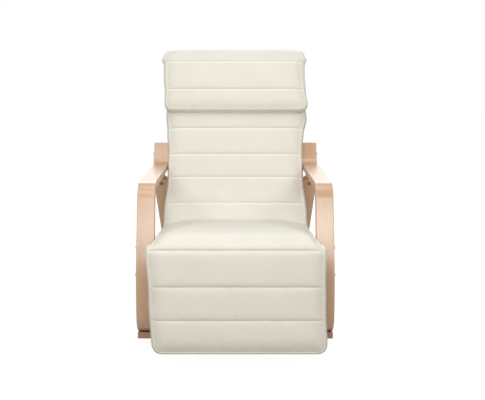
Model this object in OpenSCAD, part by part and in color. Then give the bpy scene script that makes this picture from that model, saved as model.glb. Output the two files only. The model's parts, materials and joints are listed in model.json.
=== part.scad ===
// Bentwood rocking recliner with a fold-down footrest, a long quilted pad and a head pillow.
// Units are millimetres.  The chair faces -Y, +Z is up, and +X is the sitter's left.
// Side outlines are drawn in the (y, z) plane with y = 0 over the lowest point of the
// rockers, and place() then centres the whole chair on the origin.

/* [Side frames] */
// Width over the outer faces of the two arms
frame_w = 660; // [620:5:700]
// Width of the bent laminated strips, seen from the front
strip_w = 60; // [54:1:66]
// Thickness of the bent laminated strips
strip_t = 22; // [20:1:24]
// Height of the flat top of the arms
arm_top = 565; // [550:5:580]
// How far the lower front leg stands in front of the rockers' lowest point
leg_front = 346; // [335:1:355]
// Height at which the front leg bends from leaning to upright
knee_z = 237; // [230:1:245]
// Lean of the upper front leg from upright, in degrees
leg_lean = 15; // [12:1:17]
// Radius of the slow bend in the front leg
knee_r = 680; // [600:10:700]
// Radius of the bend between arm and front leg
arm_front_r = 50; // [45:1:60]
// Radius of the bend between arm and upturned end
arm_rear_r = 55; // [45:1:65]
// Length of the upturned end behind the arm, from the bend's corner
upturn_len = 98; // [90:1:110]
// Length of the foot that lies on the rocker, on each leg
foot_len = 116; // [110:1:130]
// Radius of the bend between a leg and its foot
foot_r = 62; // [55:1:65]

/* [Rockers] */
// Radius of the rockers' running edge
rocker_r = 1250; // [1220:5:1280]
// Reach of the rocker in front of its lowest point
rocker_front = 335; // [327:1:343]
// Reach of the rocker behind its lowest point
rocker_rear = 545; // [530:1:560]

/* [Rear legs] */
// Slope of the rear legs below level, in degrees
rear_slope = 45.5; // [43:0.5:48]
// Height of the top bolt of the rear leg below the arm's centreline
rear_drop = 64; // [58:1:72]
// Setback of that bolt behind the corner of the upturned end
rear_setback = 6; // [0:1:12]

/* [Seat and back frame] */
// Setback of the seat corner behind the rockers' lowest point
corner_y = 85; // [77:1:93]
// Height of the seat corner, on the rail's centreline
corner_z = 294; // [288:1:300]
// Rise of the seat towards the front, in degrees
seat_tilt = 8; // [6:0.5:10]
// Recline of the back from upright, in degrees
back_recline = 27; // [25:0.5:29]
// Distance from the seat corner to the footrest hinge
seat_len = 511; // [495:1:525]
// Distance from the seat corner to the top of the back rails
back_len = 735; // [720:1:750]
// Thickness of the rails, seen from the front
rail_w = 25; // [22:1:28]
// Depth of the rails, seen from the side
rail_d = 40; // [38:1:44]
// Radius of the rails' bend at the seat corner
corner_r = 70; // [60:1:80]
// Width of a slat
slat_w = 53; // [45:1:58]
// Thickness of a slat
slat_t = 8; // [6:0.5:10]
// Distance between neighbouring slats of the seat and back
slat_pitch = 82; // [78:1:84]
// Depth of the cross bars that tie the rails
bar_w = 36; // [30:1:40]
// Thickness of the cross bars
bar_t = 22; // [18:1:24]

/* [Footrest] */
// Length of the footrest rails below the hinge
foot_rail_len = 292; // [280:1:300]
// Thickness of the footrest rails, seen from the front
foot_rail_w = 24; // [20:1:26]
// Distance between neighbouring slats of the footrest
foot_pitch = 72; // [68:1:76]
// Distance from the hinge to the pivots of the prop
prop_pivot = 170; // [165:1:175]
// Length of the prop between its pivots and its cross bar
prop_len = 260; // [255:1:265]
// Width of a prop arm
prop_w = 18; // [15:1:20]
// Thickness of a prop arm
prop_t = 5; // [4:0.5:6]
// Diameter of the prop's cross bar
prop_bar_d = 12; // [10:0.5:13]
// Depth of the notched racks' bar line below the rails' centreline
rack_line = 50; // [46:1:54]
// Thickness of the notched racks
rack_t = 18; // [15:1:20]
// Wood round the lower leg bolt in a rack
rack_margin = 18; // [15:1:22]
// Wood below the notches of a rack
rack_wall = 9; // [7:1:12]
// Number of notches, one for each position of the footrest
notches = 5; // [4:1:6]

/* [Ties] */
// Width of the boards that tie the two rockers
tie_w = 60; // [50:1:66]
// Thickness of those boards
tie_t = 18; // [16:1:22]

/* [Cushions] */
// Thickness of the long pad
pad_t = 50; // [46:1:54]
// Length of one sewn channel of the pad
channel = 104; // [98:1:110]
// Depth of the valleys at the sewn seams
seam_dip = 8; // [4:1:12]
// Width of the footrest part of the pad
foot_pad_w = 556; // [545:1:570]
// Length of the footrest part of the pad below the hinge
foot_pad_len = 306; // [302:1:312]
// Distance from the seat corner to the top of the pad
pad_top = 772; // [765:1:780]
// Thickness of the head pillow in front of the pad
pillow_t = 42; // [34:1:48]
// Width of the head pillow
pillow_w = 586; // [570:1:600]
// Distance from the seat corner to the lower edge of the head pillow
pillow_low = 492; // [480:1:505]
// Thickness of the pillow's cover where it passes over the top of the pad
cover_t = 16; // [12:1:20]
// Thickness of the flap that hangs behind the back
flap_t = 6; // [4:0.5:8]
// Length of the flap that hangs behind the back
flap_len = 160; // [140:1:180]

/* [Fasteners] */
// Diameter of the bolts
bolt_d = 8; // [6:0.5:8]
// Diameter of a bolt's button head
bolt_head_d = 15; // [13:0.5:16]
// Height of a bolt's button head
bolt_head_h = 4; // [3:0.5:5]
// Outer diameter of the sleeve nuts and threaded inserts
sleeve_d = 12; // [11:0.5:13]
// Thickness of a sleeve nut's flange
flange_t = 1.5; // [1:0.5:2]
// Height of the upper bolt in the front leg
upper_bolt_z = 357; // [352:1:362]
// Distance between the two bolts in the front leg
bolt_spacing = 88; // [84:1:92]
// Distance from the upturned end's corner to its bolt
back_bolt = 53; // [45:1:60]
// Thickness of the washer in the footrest hinge
washer_t = 3; // [2:0.5:4]
// Diameter of the washer in the footrest hinge
washer_d = 26; // [20:1:30]
// Thickness of the rear brackets' steel
bracket_t = 3; // [2.5:0.5:4]
// Width of the rear brackets
bracket_w = 30; // [26:1:36]
// Diameter of the screws
screw_d = 4; // [3.5:0.5:4.5]
// Diameter of a screw's countersunk head
screw_head_d = 8; // [7:0.5:9]

/* [Clearances] */
// Gap under glued or bolted curved faces, and round soft parts
seat_gap = 0.3; // [0.2:0.1:0.5]
// Radial clearance of a pin or bolt in its hole
pin_gap = 0.05; // [0.03:0.01:0.08]
// Gap between the cushion and the arms beside it
side_gap = 0.6; // [0.4:0.1:1]
// Space at the open joint between footrest pad and seat pad
fold_gap = 2; // [1.5:0.5:4]

/* [Hidden] */

arc_fn = 48;
screw_fn = 24;
bend_step = 9;      // degrees between the points of a tight bend
knee_step = 3;      // degrees between the points of the leg's slow bend
rocker_step = 2;    // degrees between the points of the rocker's arc
cut = 1;            // how far a cutter runs past the face that it opens

birch = [0.93, 0.80, 0.66];
birch_dark = [0.80, 0.62, 0.45];
slat_wood = [0.90, 0.78, 0.62];
steel = [0.62, 0.62, 0.64];
nylon = [0.15, 0.15, 0.16];
cotton = [0.92, 0.90, 0.85];

// ---- plane geometry ------------------------------------------------------------------

function unit(a) = [cos(a), sin(a)];
function heading(p, q) = atan2(q[1] - p[1], q[0] - p[0]);
function turn_of(h1, h2) = (h2 - h1 + 900) % 360 - 180;
function reversed(v) = [for (i = [len(v) - 1:-1:0]) v[i]];

// A station is a point of a strip's centreline and the heading of the strip there.
function bend_stations(centre, r, h1, turn, step, first) =
  let (n = max(1, ceil(abs(turn) / step)), s = sign(turn))
  [for (k = [first:n]) let (h = h1 + turn * k / n) [centre - s * r * unit(h + 90), h]];

function corner_stations(p, v, q, r, step) =
  let (h1 = heading(p, v), turn = turn_of(h1, heading(v, q)),
       start = v - r * tan(abs(turn) / 2) * unit(h1))
  bend_stations(start + sign(turn) * r * unit(h1 + 90), r, h1, turn, step, 0);

// The centreline through the corners v, each rounded to its radius in r.
function bent_path(v, r, step) =
  let (last = len(v) - 1)
  concat(
    [[v[0], heading(v[0], v[1])]],
    [for (i = [1:last - 1]) each corner_stations(v[i - 1], v[i], v[i + 1], r[i], step[i])],
    [[v[last], heading(v[last - 1], v[last])]]
  );

function side_of(path, d) = [for (s = path) s[0] + d * unit(s[1] + 90)];
function strip_outline(path, t) = concat(side_of(path, t / 2), reversed(side_of(path, -t / 2)));

// A half circle of points that closes the end of a strip, from its left to its right side.
function round_end(p, h, r) = [for (k = [1:11]) p + r * unit(h + 90 - 15 * k)];

// ---- the side outline of the chair ---------------------------------------------------

xo = frame_w / 2;
xi = xo - strip_w;
arm_z = arm_top - strip_t / 2;
leg_y = -leg_front;
// A flat of the rocker's outline lies on the floor, so its centre is this high.
rocker_c = [0, rocker_r * cos(rocker_step / 2)];

back_dir = 90 - back_recline;
seat_dir = 180 - seat_tilt;
seat_up = seat_dir - 90;
back_front = back_dir + 90;
corner = [corner_y, corner_z];

// Points on the seat and back: distance from the corner, and height off the rail's centreline.
function on_seat(s, m) = corner + s * unit(seat_dir) + m * unit(seat_up);
function on_back(b, m) = corner + b * unit(back_dir) + m * unit(back_front);

knee = [leg_y, knee_z];
arm_front = [leg_y + (arm_z - knee_z) * tan(leg_lean), arm_z];
upturn_b = (arm_z - corner_z) / sin(back_dir);
arm_rear = on_back(upturn_b, 0);
arm_end = on_back(upturn_b + upturn_len, 0);

// Feet: their centreline is an arc round the rocker's centre.
foot_arc_r = rocker_r - 1.5 * strip_t - seat_gap;
front_bend_y = leg_y + foot_r;
front_bend = [front_bend_y, rocker_c[1] - sqrt(pow(foot_arc_r - foot_r, 2) - pow(front_bend_y, 2))];
front_foot_a = asin(front_bend_y / (foot_arc_r - foot_r));
foot_sweep = foot_len / foot_arc_r * 180 / PI;

rear_h = -rear_slope;
rear_bolt = arm_rear + [rear_setback, -rear_drop];
rear_in = rear_bolt + foot_r * unit(rear_h - 90) - rocker_c;
rear_along = rear_in * unit(rear_h);
rear_run = sqrt(pow(rear_along, 2) - rear_in * rear_in + pow(foot_arc_r - foot_r, 2)) - rear_along;
rear_bend = rocker_c + rear_in + rear_run * unit(rear_h);
rear_foot_a = asin(rear_bend[0] / (foot_arc_r - foot_r));

function foot_arc(r, a0, a1, back_turn) =
  let (n = ceil(abs(a1 - a0) / rocker_step))
  [for (k = [0:n]) let (a = a0 + (a1 - a0) * k / n) [rocker_c - r * unit(a + 90), a + back_turn]];

// Where the centreline of the front leg is at height z.
knee_run = knee_r * tan(leg_lean / 2);
function leg_at(z) =
  z > knee_z + knee_run * cos(leg_lean) ? leg_y + (z - knee_z) * tan(leg_lean)
  : leg_y + knee_r - sqrt(pow(knee_r, 2) - pow(max(0, z - knee_z + knee_run), 2));

arm_path = concat(
  bent_path([arm_end, arm_rear, arm_front, knee, [leg_y, front_bend[1]]],
            [0, arm_rear_r, arm_front_r, knee_r, 0],
            [0, bend_step, bend_step, knee_step, 0]),
  bend_stations(front_bend, foot_r, -90, front_foot_a + 90, bend_step, 1),
  [for (i = [1:ceil(foot_sweep / rocker_step)])
     foot_arc(foot_arc_r, front_foot_a, front_foot_a + foot_sweep, 0)[i]]
);

rear_path = concat(
  [[rear_bolt, rear_h], [rear_bolt + rear_run * unit(rear_h), rear_h]],
  bend_stations(rear_bend, foot_r, rear_h, rear_foot_a - 180 - rear_h, bend_step, 1),
  [for (i = [1:ceil(foot_sweep / rocker_step)])
     foot_arc(foot_arc_r, rear_foot_a, rear_foot_a - foot_sweep, 180)[i]]
);

rocker_a0 = -asin(rocker_front / rocker_r);
rocker_a1 = asin(rocker_rear / rocker_r);
first_flat = rocker_step * (ceil(rocker_a0 / rocker_step) + 0.5);
rocker_angles = [rocker_a0, for (a = [first_flat:rocker_step:rocker_a1 - 1]) a, rocker_a1];
rocker_path = [for (a = rocker_angles) [rocker_c - (rocker_r - strip_t / 2) * unit(a + 90), a]];

hinge = on_seat(seat_len, 0);
rail_top = on_back(back_len, 0);
rail_path = bent_path([hinge, corner, rail_top], [0, corner_r, 0], [0, bend_step, 0]);
rail_outline = concat(
  side_of(rail_path, rail_d / 2),
  round_end(rail_top, back_dir, rail_d / 2),
  reversed(side_of(rail_path, -rail_d / 2)),
  round_end(hinge, seat_dir, rail_d / 2)
);

foot_dir = seat_dir + 90;
foot_up = seat_dir;
function on_foot(u, n) = hinge + u * unit(foot_dir) + n * unit(foot_up);
foot_rail_end = on_foot(foot_rail_len, 0);

// ---- across the chair ----------------------------------------------------------------

rail_x = xi - rail_w;
foot_rail_x = rail_x - washer_t - foot_rail_w;
spacer_t = 5;
prop_x = foot_rail_x - spacer_t - prop_t;
rebate = 14;
slat_half = rail_x + rebate - seat_gap;
foot_slat_half = foot_rail_x + rebate - seat_gap;

// ---- helpers -------------------------------------------------------------------------

module place() { translate([0, -centre_y, 0]) children(); }

// Extrudes a (y, z) outline from x = x0 over a width w.
module across(outline, x0, w) {
  translate([x0, 0, 0]) rotate([90, 0, 90]) linear_extrude(w) polygon(outline);
}

module sided(side) { mirror([side < 0 ? 1 : 0, 0, 0]) children(); }
module both_sides() { for (side = [-1, 1]) sided(side) children(); }

// Puts children at a (y, z) point, with local Y along a heading and local Z to its left.
module at(p, h) { translate([0, p[0], p[1]]) rotate([h, 0, 0]) children(); }

// A rod along X from x0 to x1 at a (y, z) point.
module rod(p, x0, x1, d) {
  translate([x0, p[0], p[1]]) rotate([0, 90, 0]) cylinder(h = x1 - x0, d = d, $fn = arc_fn);
}

// Puts children on the rocker's arc, at angle a and radius r, with local Z to the centre.
module on_rocker(a, r) {
  translate([0, r * sin(a), rocker_c[1] - r * cos(a)]) rotate([a, 0, 0]) children();
}

// ---- bolts through the arms ----------------------------------------------------------

upper_bolt = [leg_at(upper_bolt_z), upper_bolt_z];
lower_bolt_z = upper_bolt_z - bolt_spacing;
lower_bolt = [leg_at(lower_bolt_z), lower_bolt_z];
end_bolt = on_back(upturn_b + back_bolt, 0);
// Each side bolt: its place, and how thick the piece behind the strip is.
side_bolt_list = [[upper_bolt, rail_w], [lower_bolt, rack_t], [end_bolt, rail_w]];
sleeve_len = 12;

module side_bolt_holes(list) {
  for (b = list) {
    rod(b[0], xi - b[1] - cut, xo + cut, bolt_d + 2 * pin_gap);
    rod(b[0], xi - b[1] - cut, xi - b[1] + sleeve_len + pin_gap, sleeve_d + 2 * pin_gap);
  }
}

module side_bolts() {
  color(steel) place() both_sides() for (b = side_bolt_list) {
    rod(b[0], xi - b[1], xo, bolt_d);
    rod(b[0], xo, xo + bolt_head_h, bolt_head_d);
  }
}

module side_nuts() {
  color(steel) place() both_sides() for (b = side_bolt_list) difference() {
    union() {
      rod(b[0], xi - b[1], xi - b[1] + sleeve_len, sleeve_d);
      rod(b[0], xi - b[1] - flange_t, xi - b[1], bolt_head_d);
    }
    rod(b[0], xi - b[1] - pin_gap, xi, bolt_d + 2 * pin_gap);
  }
}

// ---- ties between the rockers --------------------------------------------------------

foot_top_r = foot_arc_r - strip_t / 2;
tie_r = sqrt(pow(foot_top_r, 2) - pow(tie_w / 2, 2)) - seat_gap;
tie_from_end = tie_w / 2 + 6;
tie_back = tie_from_end / foot_arc_r * 180 / PI;
front_tie_a = front_foot_a + foot_sweep - tie_back;
rear_tie_a = rear_foot_a - foot_sweep + tie_back;
tie_angles = [front_tie_a, rear_tie_a];
insert_floor = 5;
tie_bolt_x = [xi + strip_w / 4, xi + strip_w * 3 / 4];

module at_tie_bolts() {
  both_sides() for (a = tie_angles, x = tie_bolt_x) on_rocker(a, tie_r) translate([x, 0, 0]) children();
}

bolt_reach = rocker_r - tie_r - insert_floor;
insert_len = strip_t - insert_floor;

module tie_bolt_holes() {
  at_tie_bolts() translate([0, 0, -bolt_reach]) {
    cylinder(h = bolt_reach + tie_t + cut, d = bolt_d + 2 * pin_gap, $fn = arc_fn);
    cylinder(h = insert_len + 2 * seat_gap, d = sleeve_d + 2 * pin_gap, $fn = arc_fn);
  }
}

module tie(a) {
  color(birch_dark) place() difference() {
    on_rocker(a, tie_r) translate([-xo, -tie_w / 2, 0]) cube([2 * xo, tie_w, tie_t]);
    tie_bolt_holes();
  }
}
module front_tie() { tie(front_tie_a); }
module rear_tie() { tie(rear_tie_a); }

module tie_bolts() {
  color(steel) place() at_tie_bolts() {
    translate([0, 0, -bolt_reach + cut]) cylinder(h = bolt_reach + tie_t - cut, d = bolt_d, $fn = arc_fn);
    translate([0, 0, tie_t]) cylinder(h = bolt_head_h, d = bolt_head_d, $fn = arc_fn);
  }
}

module tie_inserts() {
  color(steel) place() at_tie_bolts() translate([0, 0, -bolt_reach]) difference() {
    cylinder(h = insert_len, d = sleeve_d, $fn = arc_fn);
    translate([0, 0, -cut]) cylinder(h = insert_len + 2 * cut, d = bolt_d + 2 * pin_gap, $fn = arc_fn);
  }
}

// ---- rear brackets, which hang the rear legs from the arms ---------------------------

leg_back = rear_bolt + strip_t / 2 * unit(rear_h + 90);
arm_under = arm_top - strip_t;
bracket_rise = (arm_under - leg_back[1]) / sin(rear_slope);
bracket_corner = leg_back - bracket_rise * unit(rear_h);
bracket_tail = 16;
bracket_tab = 50;
bracket_low = leg_back + bracket_tail * unit(rear_h);
bracket_outline = [
  bracket_low,
  bracket_low + bracket_t * unit(rear_h + 90),
  bracket_corner + [bracket_t / sin(rear_slope), 0],
  bracket_corner - [bracket_tab, 0],
  bracket_corner - [bracket_tab, bracket_t],
  bracket_corner + [bracket_t / tan(rear_slope), -bracket_t]
];
bracket_x = xi + (strip_w - bracket_w) / 2;
bracket_mid = xi + strip_w / 2;
bracket_screw_y = [bracket_corner[0] - bracket_tab * 0.75, bracket_corner[0] - bracket_tab * 0.35];
arm_screw_len = 14;
nut_h = 6;

// Puts children on the rear leg's bolt, with local Z square to the leg, out of its back.
module at_bracket_bolt() { translate([bracket_mid, 0, 0]) at(rear_bolt, rear_h) children(); }
module at_bracket_screws() {
  for (y = bracket_screw_y) translate([bracket_mid, y, arm_under]) children();
}

module bracket() {
  color(steel) difference() {
    across(bracket_outline, bracket_x, bracket_w);
    at_bracket_bolt() cylinder(h = strip_t, d = bolt_d + 2 * pin_gap, $fn = arc_fn);
    at_bracket_screws() translate([0, 0, -bracket_t - cut])
      cylinder(h = bracket_t + 2 * cut, d = screw_d + 2 * pin_gap, $fn = arc_fn);
  }
}
module left_rear_bracket() { place() bracket(); }
module right_rear_bracket() { place() sided(-1) bracket(); }

module bracket_bolts() {
  color(steel) place() both_sides() at_bracket_bolt() translate([0, 0, -strip_t / 2]) {
    translate([0, 0, -bolt_head_h]) cylinder(h = bolt_head_h, d = bolt_head_d, $fn = arc_fn);
    cylinder(h = strip_t + bracket_t, d = bolt_d, $fn = arc_fn);
    translate([0, 0, strip_t + bracket_t]) cylinder(h = nut_h, d = bolt_head_d, $fn = 6);
  }
}

module bracket_screws() {
  color(steel) place() both_sides() at_bracket_screws() translate([0, 0, -bracket_t]) {
    cylinder(h = arm_screw_len + bracket_t, d = screw_d, $fn = arc_fn);
    translate([0, 0, -screw_d / 2]) cylinder(h = screw_d / 2, d = screw_head_d, $fn = arc_fn);
  }
}

// ---- side frames ---------------------------------------------------------------------

module arm_bow() {
  color(birch) difference() {
    across(strip_outline(arm_path, strip_t), xi, strip_w);
    side_bolt_holes(side_bolt_list);
    tie_bolt_holes();
    at_bracket_screws() translate([0, 0, -cut])
      cylinder(h = arm_screw_len + 2 * cut, d = screw_d + 2 * pin_gap, $fn = arc_fn);
  }
}
module left_arm() { place() arm_bow(); }
module right_arm() { place() sided(-1) arm_bow(); }

// The top end of the rear leg is a full round, centred on its bolt.
round_tip = concat(
  [[strip_w / 2, cut]],
  [for (a = [0:bend_step:180]) strip_w / 2 * [cos(a), -sin(a)]],
  [[-strip_w / 2, cut]]
);

module rear_leg() {
  color(birch_dark) difference() {
    union() {
      across(strip_outline(rear_path, strip_t), xi, strip_w);
      at_bracket_bolt() translate([0, 0, -strip_t / 2]) linear_extrude(strip_t) polygon(round_tip);
    }
    at_bracket_bolt() translate([0, 0, -strip_t])
      cylinder(h = 2 * strip_t, d = bolt_d + 2 * pin_gap, $fn = arc_fn);
    tie_bolt_holes();
  }
}
module left_rear_leg() { place() rear_leg(); }
module right_rear_leg() { place() sided(-1) rear_leg(); }

module rocker() {
  color(birch_dark) difference() {
    across(strip_outline(rocker_path, strip_t), xi, strip_w);
    tie_bolt_holes();
  }
}
module left_rocker() { place() rocker(); }
module right_rocker() { place() sided(-1) rocker(); }

// ---- rails, cross bars and slats -----------------------------------------------------

slat_top = rail_d / 2;
first_slat = 100;
seat_slat_s = [for (i = [0:3]) first_slat + slat_pitch * i];
back_slat_b = [for (i = [0:6]) first_slat + 18 + slat_pitch * i];
bar_gap = 8;
bar_m = slat_top - slat_t - seat_gap - bar_t / 2;
upper_bolt_s = (upper_bolt - corner) * unit(seat_dir);
front_bar_s = upper_bolt_s - bolt_head_d / 2 - bar_gap - bar_w / 2;
top_bar_b = back_len - bar_w / 2;
bar_screw_len = 60;
slat_screw_len = 24;

module at_seat(s) { at(on_seat(s, 0), seat_up - 90) children(); }
module at_back(b) { at(on_back(b, 0), back_front - 90) children(); }

// A slat lies across the rails with its top flush with theirs.
module slat_blank(half, w, grow) {
  translate([-half - grow, -w / 2 - grow, slat_top - slat_t])
    cube([2 * (half + grow), w + 2 * grow, slat_t + (grow > 0 ? cut : 0)]);
}

// A screw along local Z, its head flush with z = 0, grown by its clearance for a hole.
module screw(len, grow) {
  translate([0, 0, -len]) cylinder(h = len + grow, d = screw_d + 2 * grow, $fn = screw_fn);
  translate([0, 0, -screw_d / 2])
    cylinder(h = screw_d / 2 + grow, d = screw_head_d + 2 * grow, $fn = screw_fn);
}

module screw_pair(x, grow) {
  for (side = [-1, 1]) translate([side * x, 0, slat_top]) screw(slat_screw_len, grow);
}

rail_screw_x = rail_x + rebate / 2;

module slat(half, screw_x) {
  color(slat_wood) difference() {
    slat_blank(half, slat_w, 0);
    screw_pair(screw_x, pin_gap);
  }
}

module seat_slat(i) { place() at_seat(seat_slat_s[i - 1]) slat(slat_half, rail_screw_x); }
module back_slat(i) { place() at_back(back_slat_b[i - 1]) slat(slat_half, rail_screw_x); }

module all_slat_seats() {
  for (s = seat_slat_s) at_seat(s) children();
  for (b = back_slat_b) at_back(b) children();
}

module slat_screws() { color(steel) place() all_slat_seats() screw_pair(rail_screw_x, 0); }

// Screws through a rail's outer face into the end of a cross bar, in pairs.
module bar_screw_pair(x_face, grow) {
  both_sides() for (y = [-bar_w / 4, bar_w / 4])
    translate([x_face, y, bar_m]) rotate([0, 90, 0]) screw(bar_screw_len, grow);
}

module cross_bar(half) {
  translate([-half, -bar_w / 2, bar_m - bar_t / 2]) cube([2 * half, bar_w, bar_t]);
}

module seat_front_bar() {
  color(slat_wood) place() at_seat(front_bar_s) difference() {
    cross_bar(rail_x);
    bar_screw_pair(xi, pin_gap);
  }
}

module back_top_bar() {
  color(slat_wood) place() at_back(top_bar_b) difference() {
    cross_bar(rail_x);
    bar_screw_pair(xi, pin_gap);
  }
}

module bar_screws() {
  color(steel) place() {
    at_seat(front_bar_s) bar_screw_pair(xi, 0);
    at_back(top_bar_b) bar_screw_pair(xi, 0);
  }
}

module rail() {
  color(birch) difference() {
    across(rail_outline, rail_x, rail_w);
    side_bolt_holes([side_bolt_list[0], side_bolt_list[2]]);
    rod(hinge, rail_x - cut, xi + cut, bolt_d + 2 * pin_gap);
    all_slat_seats() {
      slat_blank(slat_half, slat_w, seat_gap / 2);
      screw_pair(rail_screw_x, pin_gap);
    }
    at_seat(front_bar_s) bar_screw_pair(xi, pin_gap);
    at_back(top_bar_b) bar_screw_pair(xi, pin_gap);
    rack_dowel_holes();
  }
}
module left_rail() { place() rail(); }
module right_rail() { place() sided(-1) rail(); }

// ---- notched racks under the rails ---------------------------------------------------

prop_rest_s = seat_len - sqrt(pow(prop_len, 2) - pow(prop_pivot - rack_line, 2));
prop_up_s = seat_len + prop_pivot - sqrt(pow(prop_len, 2) - pow(rack_line, 2));
notch_run = prop_up_s - prop_rest_s;
slot_h = prop_bar_d + 2;
notch_depth = 7;
rack_end = 22;
rack_s0 = prop_rest_s - rack_end;
rack_s1 = prop_up_s + rack_end;
lower_bolt_s = (lower_bolt - corner) * unit(seat_dir);
rack_low = (corner - lower_bolt) * unit(seat_up) + rack_margin;
rack_shallow = rack_line + slot_h / 2 + notch_depth + rack_wall;
rack_outline = [
  on_seat(rack_s0, -rail_d / 2),
  on_seat(rack_s1, -rail_d / 2),
  on_seat(rack_s1, -rack_low + 12),
  on_seat(rack_s1 - 12, -rack_low),
  on_seat(lower_bolt_s - 2 * rack_margin, -rack_low),
  on_seat(lower_bolt_s - 3 * rack_margin, -rack_shallow),
  on_seat(rack_s0, -rack_shallow)
];
rack_dowel_s = [rack_s0 + 20, rack_s1 - 20];
rack_dowel_x = xi - rack_t / 2;
dowel_reach = 15;

module rack_dowel_shape(grow) {
  for (s = rack_dowel_s) at_seat(s) translate([rack_dowel_x, 0, -rail_d / 2 - dowel_reach - grow])
    cylinder(h = 2 * (dowel_reach + grow), d = bolt_d + 2 * grow, $fn = arc_fn);
}
module rack_dowel_holes() { rack_dowel_shape(pin_gap); }
module rack_dowels() { color(slat_wood) place() both_sides() rack_dowel_shape(0); }

module rack() {
  color(slat_wood) difference() {
    across(rack_outline, xi - rack_t, rack_t);
    at_seat(prop_up_s) translate([xi - rack_t - cut, 0, -rack_line - slot_h / 2])
      cube([rack_t + 2 * cut, notch_run, slot_h]);
    for (i = [0:notches - 1]) for (drop = [0, notch_depth])
      rod(on_seat(prop_up_s - notch_run * i / (notches - 1), -rack_line - drop),
          xi - rack_t - cut, xi + cut, slot_h);
    side_bolt_holes([side_bolt_list[1]]);
    rack_dowel_holes();
  }
}
module left_rack() { place() rack(); }
module right_rack() { place() sided(-1) rack(); }

// ---- footrest hinge ------------------------------------------------------------------

hinge_nut_h = 7;
play = 0.2;

module hinge_bolts() {
  color(steel) place() both_sides() {
    rod(hinge, foot_rail_x - play - hinge_nut_h, xi, bolt_d);
    rod(hinge, xi, xi + bolt_head_h, bolt_head_d);
  }
}

module hinge_nuts() {
  color(steel) place() both_sides() difference() {
    rod(hinge, foot_rail_x - play - hinge_nut_h, foot_rail_x - play, bolt_head_d);
    rod(hinge, foot_rail_x - play - hinge_nut_h - cut, foot_rail_x, bolt_d + 2 * pin_gap);
  }
}

module hinge_washers() {
  color(nylon) place() both_sides() difference() {
    rod(hinge, rail_x - washer_t, rail_x, washer_d);
    rod(hinge, rail_x - washer_t - cut, rail_x + cut, bolt_d + 2 * pin_gap);
  }
}

// ---- footrest ------------------------------------------------------------------------

foot_slat_u = [for (i = [0:2]) 55 + foot_pitch * i];
foot_bar_u = foot_rail_len - bar_w / 2;
foot_screw_x = foot_rail_x + rebate / 2;
prop_pin = on_foot(prop_pivot, 0);
prop_foot = on_seat(prop_rest_s, -rack_line);
foot_face_x = foot_rail_x + foot_rail_w;

module at_foot(u) { at(on_foot(u, 0), foot_up - 90) children(); }

foot_rail_outline = concat(
  side_of([[hinge, foot_dir], [foot_rail_end, foot_dir]], rail_d / 2),
  reversed(side_of([[hinge, foot_dir], [foot_rail_end, foot_dir]], -rail_d / 2)),
  round_end(hinge, foot_dir + 180, rail_d / 2)
);

module foot_rail() {
  color(birch) difference() {
    across(foot_rail_outline, foot_rail_x, foot_rail_w);
    rod(hinge, foot_rail_x - cut, foot_face_x + cut, bolt_d + 2 * pin_gap);
    rod(prop_pin, foot_rail_x - cut, foot_rail_x + pin_reach + pin_gap, bolt_d + 2 * pin_gap);
    for (u = foot_slat_u) at_foot(u) {
      slat_blank(foot_slat_half, slat_w, seat_gap / 2);
      screw_pair(foot_screw_x, pin_gap);
    }
    at_foot(foot_bar_u) bar_screw_pair(foot_face_x, pin_gap);
  }
}
module left_foot_rail() { place() foot_rail(); }
module right_foot_rail() { place() sided(-1) foot_rail(); }

module foot_slat(i) { place() at_foot(foot_slat_u[i - 1]) slat(foot_slat_half, foot_screw_x); }
module foot_slat_screws() {
  color(steel) place() for (u = foot_slat_u) at_foot(u) screw_pair(foot_screw_x, 0);
}

module foot_end_bar() {
  color(slat_wood) place() at_foot(foot_bar_u) difference() {
    cross_bar(foot_rail_x);
    bar_screw_pair(foot_face_x, pin_gap);
  }
}
module foot_bar_screws() {
  color(steel) place() at_foot(foot_bar_u) bar_screw_pair(foot_face_x, 0);
}

// ---- prop: two steel arms on pins in the footrest rails, joined by a bar ---------------

pin_reach = 15;
pin_head_h = 3;
prop_path = [[prop_pin, heading(prop_pin, prop_foot)], [prop_foot, heading(prop_pin, prop_foot)]];
prop_outline = concat(
  side_of(prop_path, prop_w / 2),
  round_end(prop_foot, prop_path[0][1], prop_w / 2),
  reversed(side_of(prop_path, -prop_w / 2)),
  round_end(prop_pin, prop_path[0][1] + 180, prop_w / 2)
);
bar_end_gap = 4;

module prop_pins() {
  color(steel) place() both_sides() {
    rod(prop_pin, prop_x - play, foot_rail_x + pin_reach, bolt_d);
    rod(prop_pin, prop_x - play - pin_head_h, prop_x - play, bolt_head_d);
  }
}

module prop_spacers() {
  color(nylon) place() both_sides() difference() {
    rod(prop_pin, prop_x + prop_t + play, foot_rail_x, prop_w);
    rod(prop_pin, prop_x, foot_rail_x + cut, bolt_d + 2 * pin_gap);
  }
}

module prop_arm() {
  color(steel) difference() {
    across(prop_outline, prop_x, prop_t);
    rod(prop_pin, prop_x - cut, prop_x + prop_t + cut, bolt_d + 2 * pin_gap);
    rod(prop_foot, prop_x - cut, prop_x + prop_t + cut, prop_bar_d + 2 * pin_gap);
  }
}
module left_prop_arm() { place() prop_arm(); }
module right_prop_arm() { place() sided(-1) prop_arm(); }

module prop_bar() {
  half = xi - rack_t - bar_end_gap;
  color(steel) place() rod(prop_foot, -half, half, prop_bar_d);
}

// ---- cushions ------------------------------------------------------------------------

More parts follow.
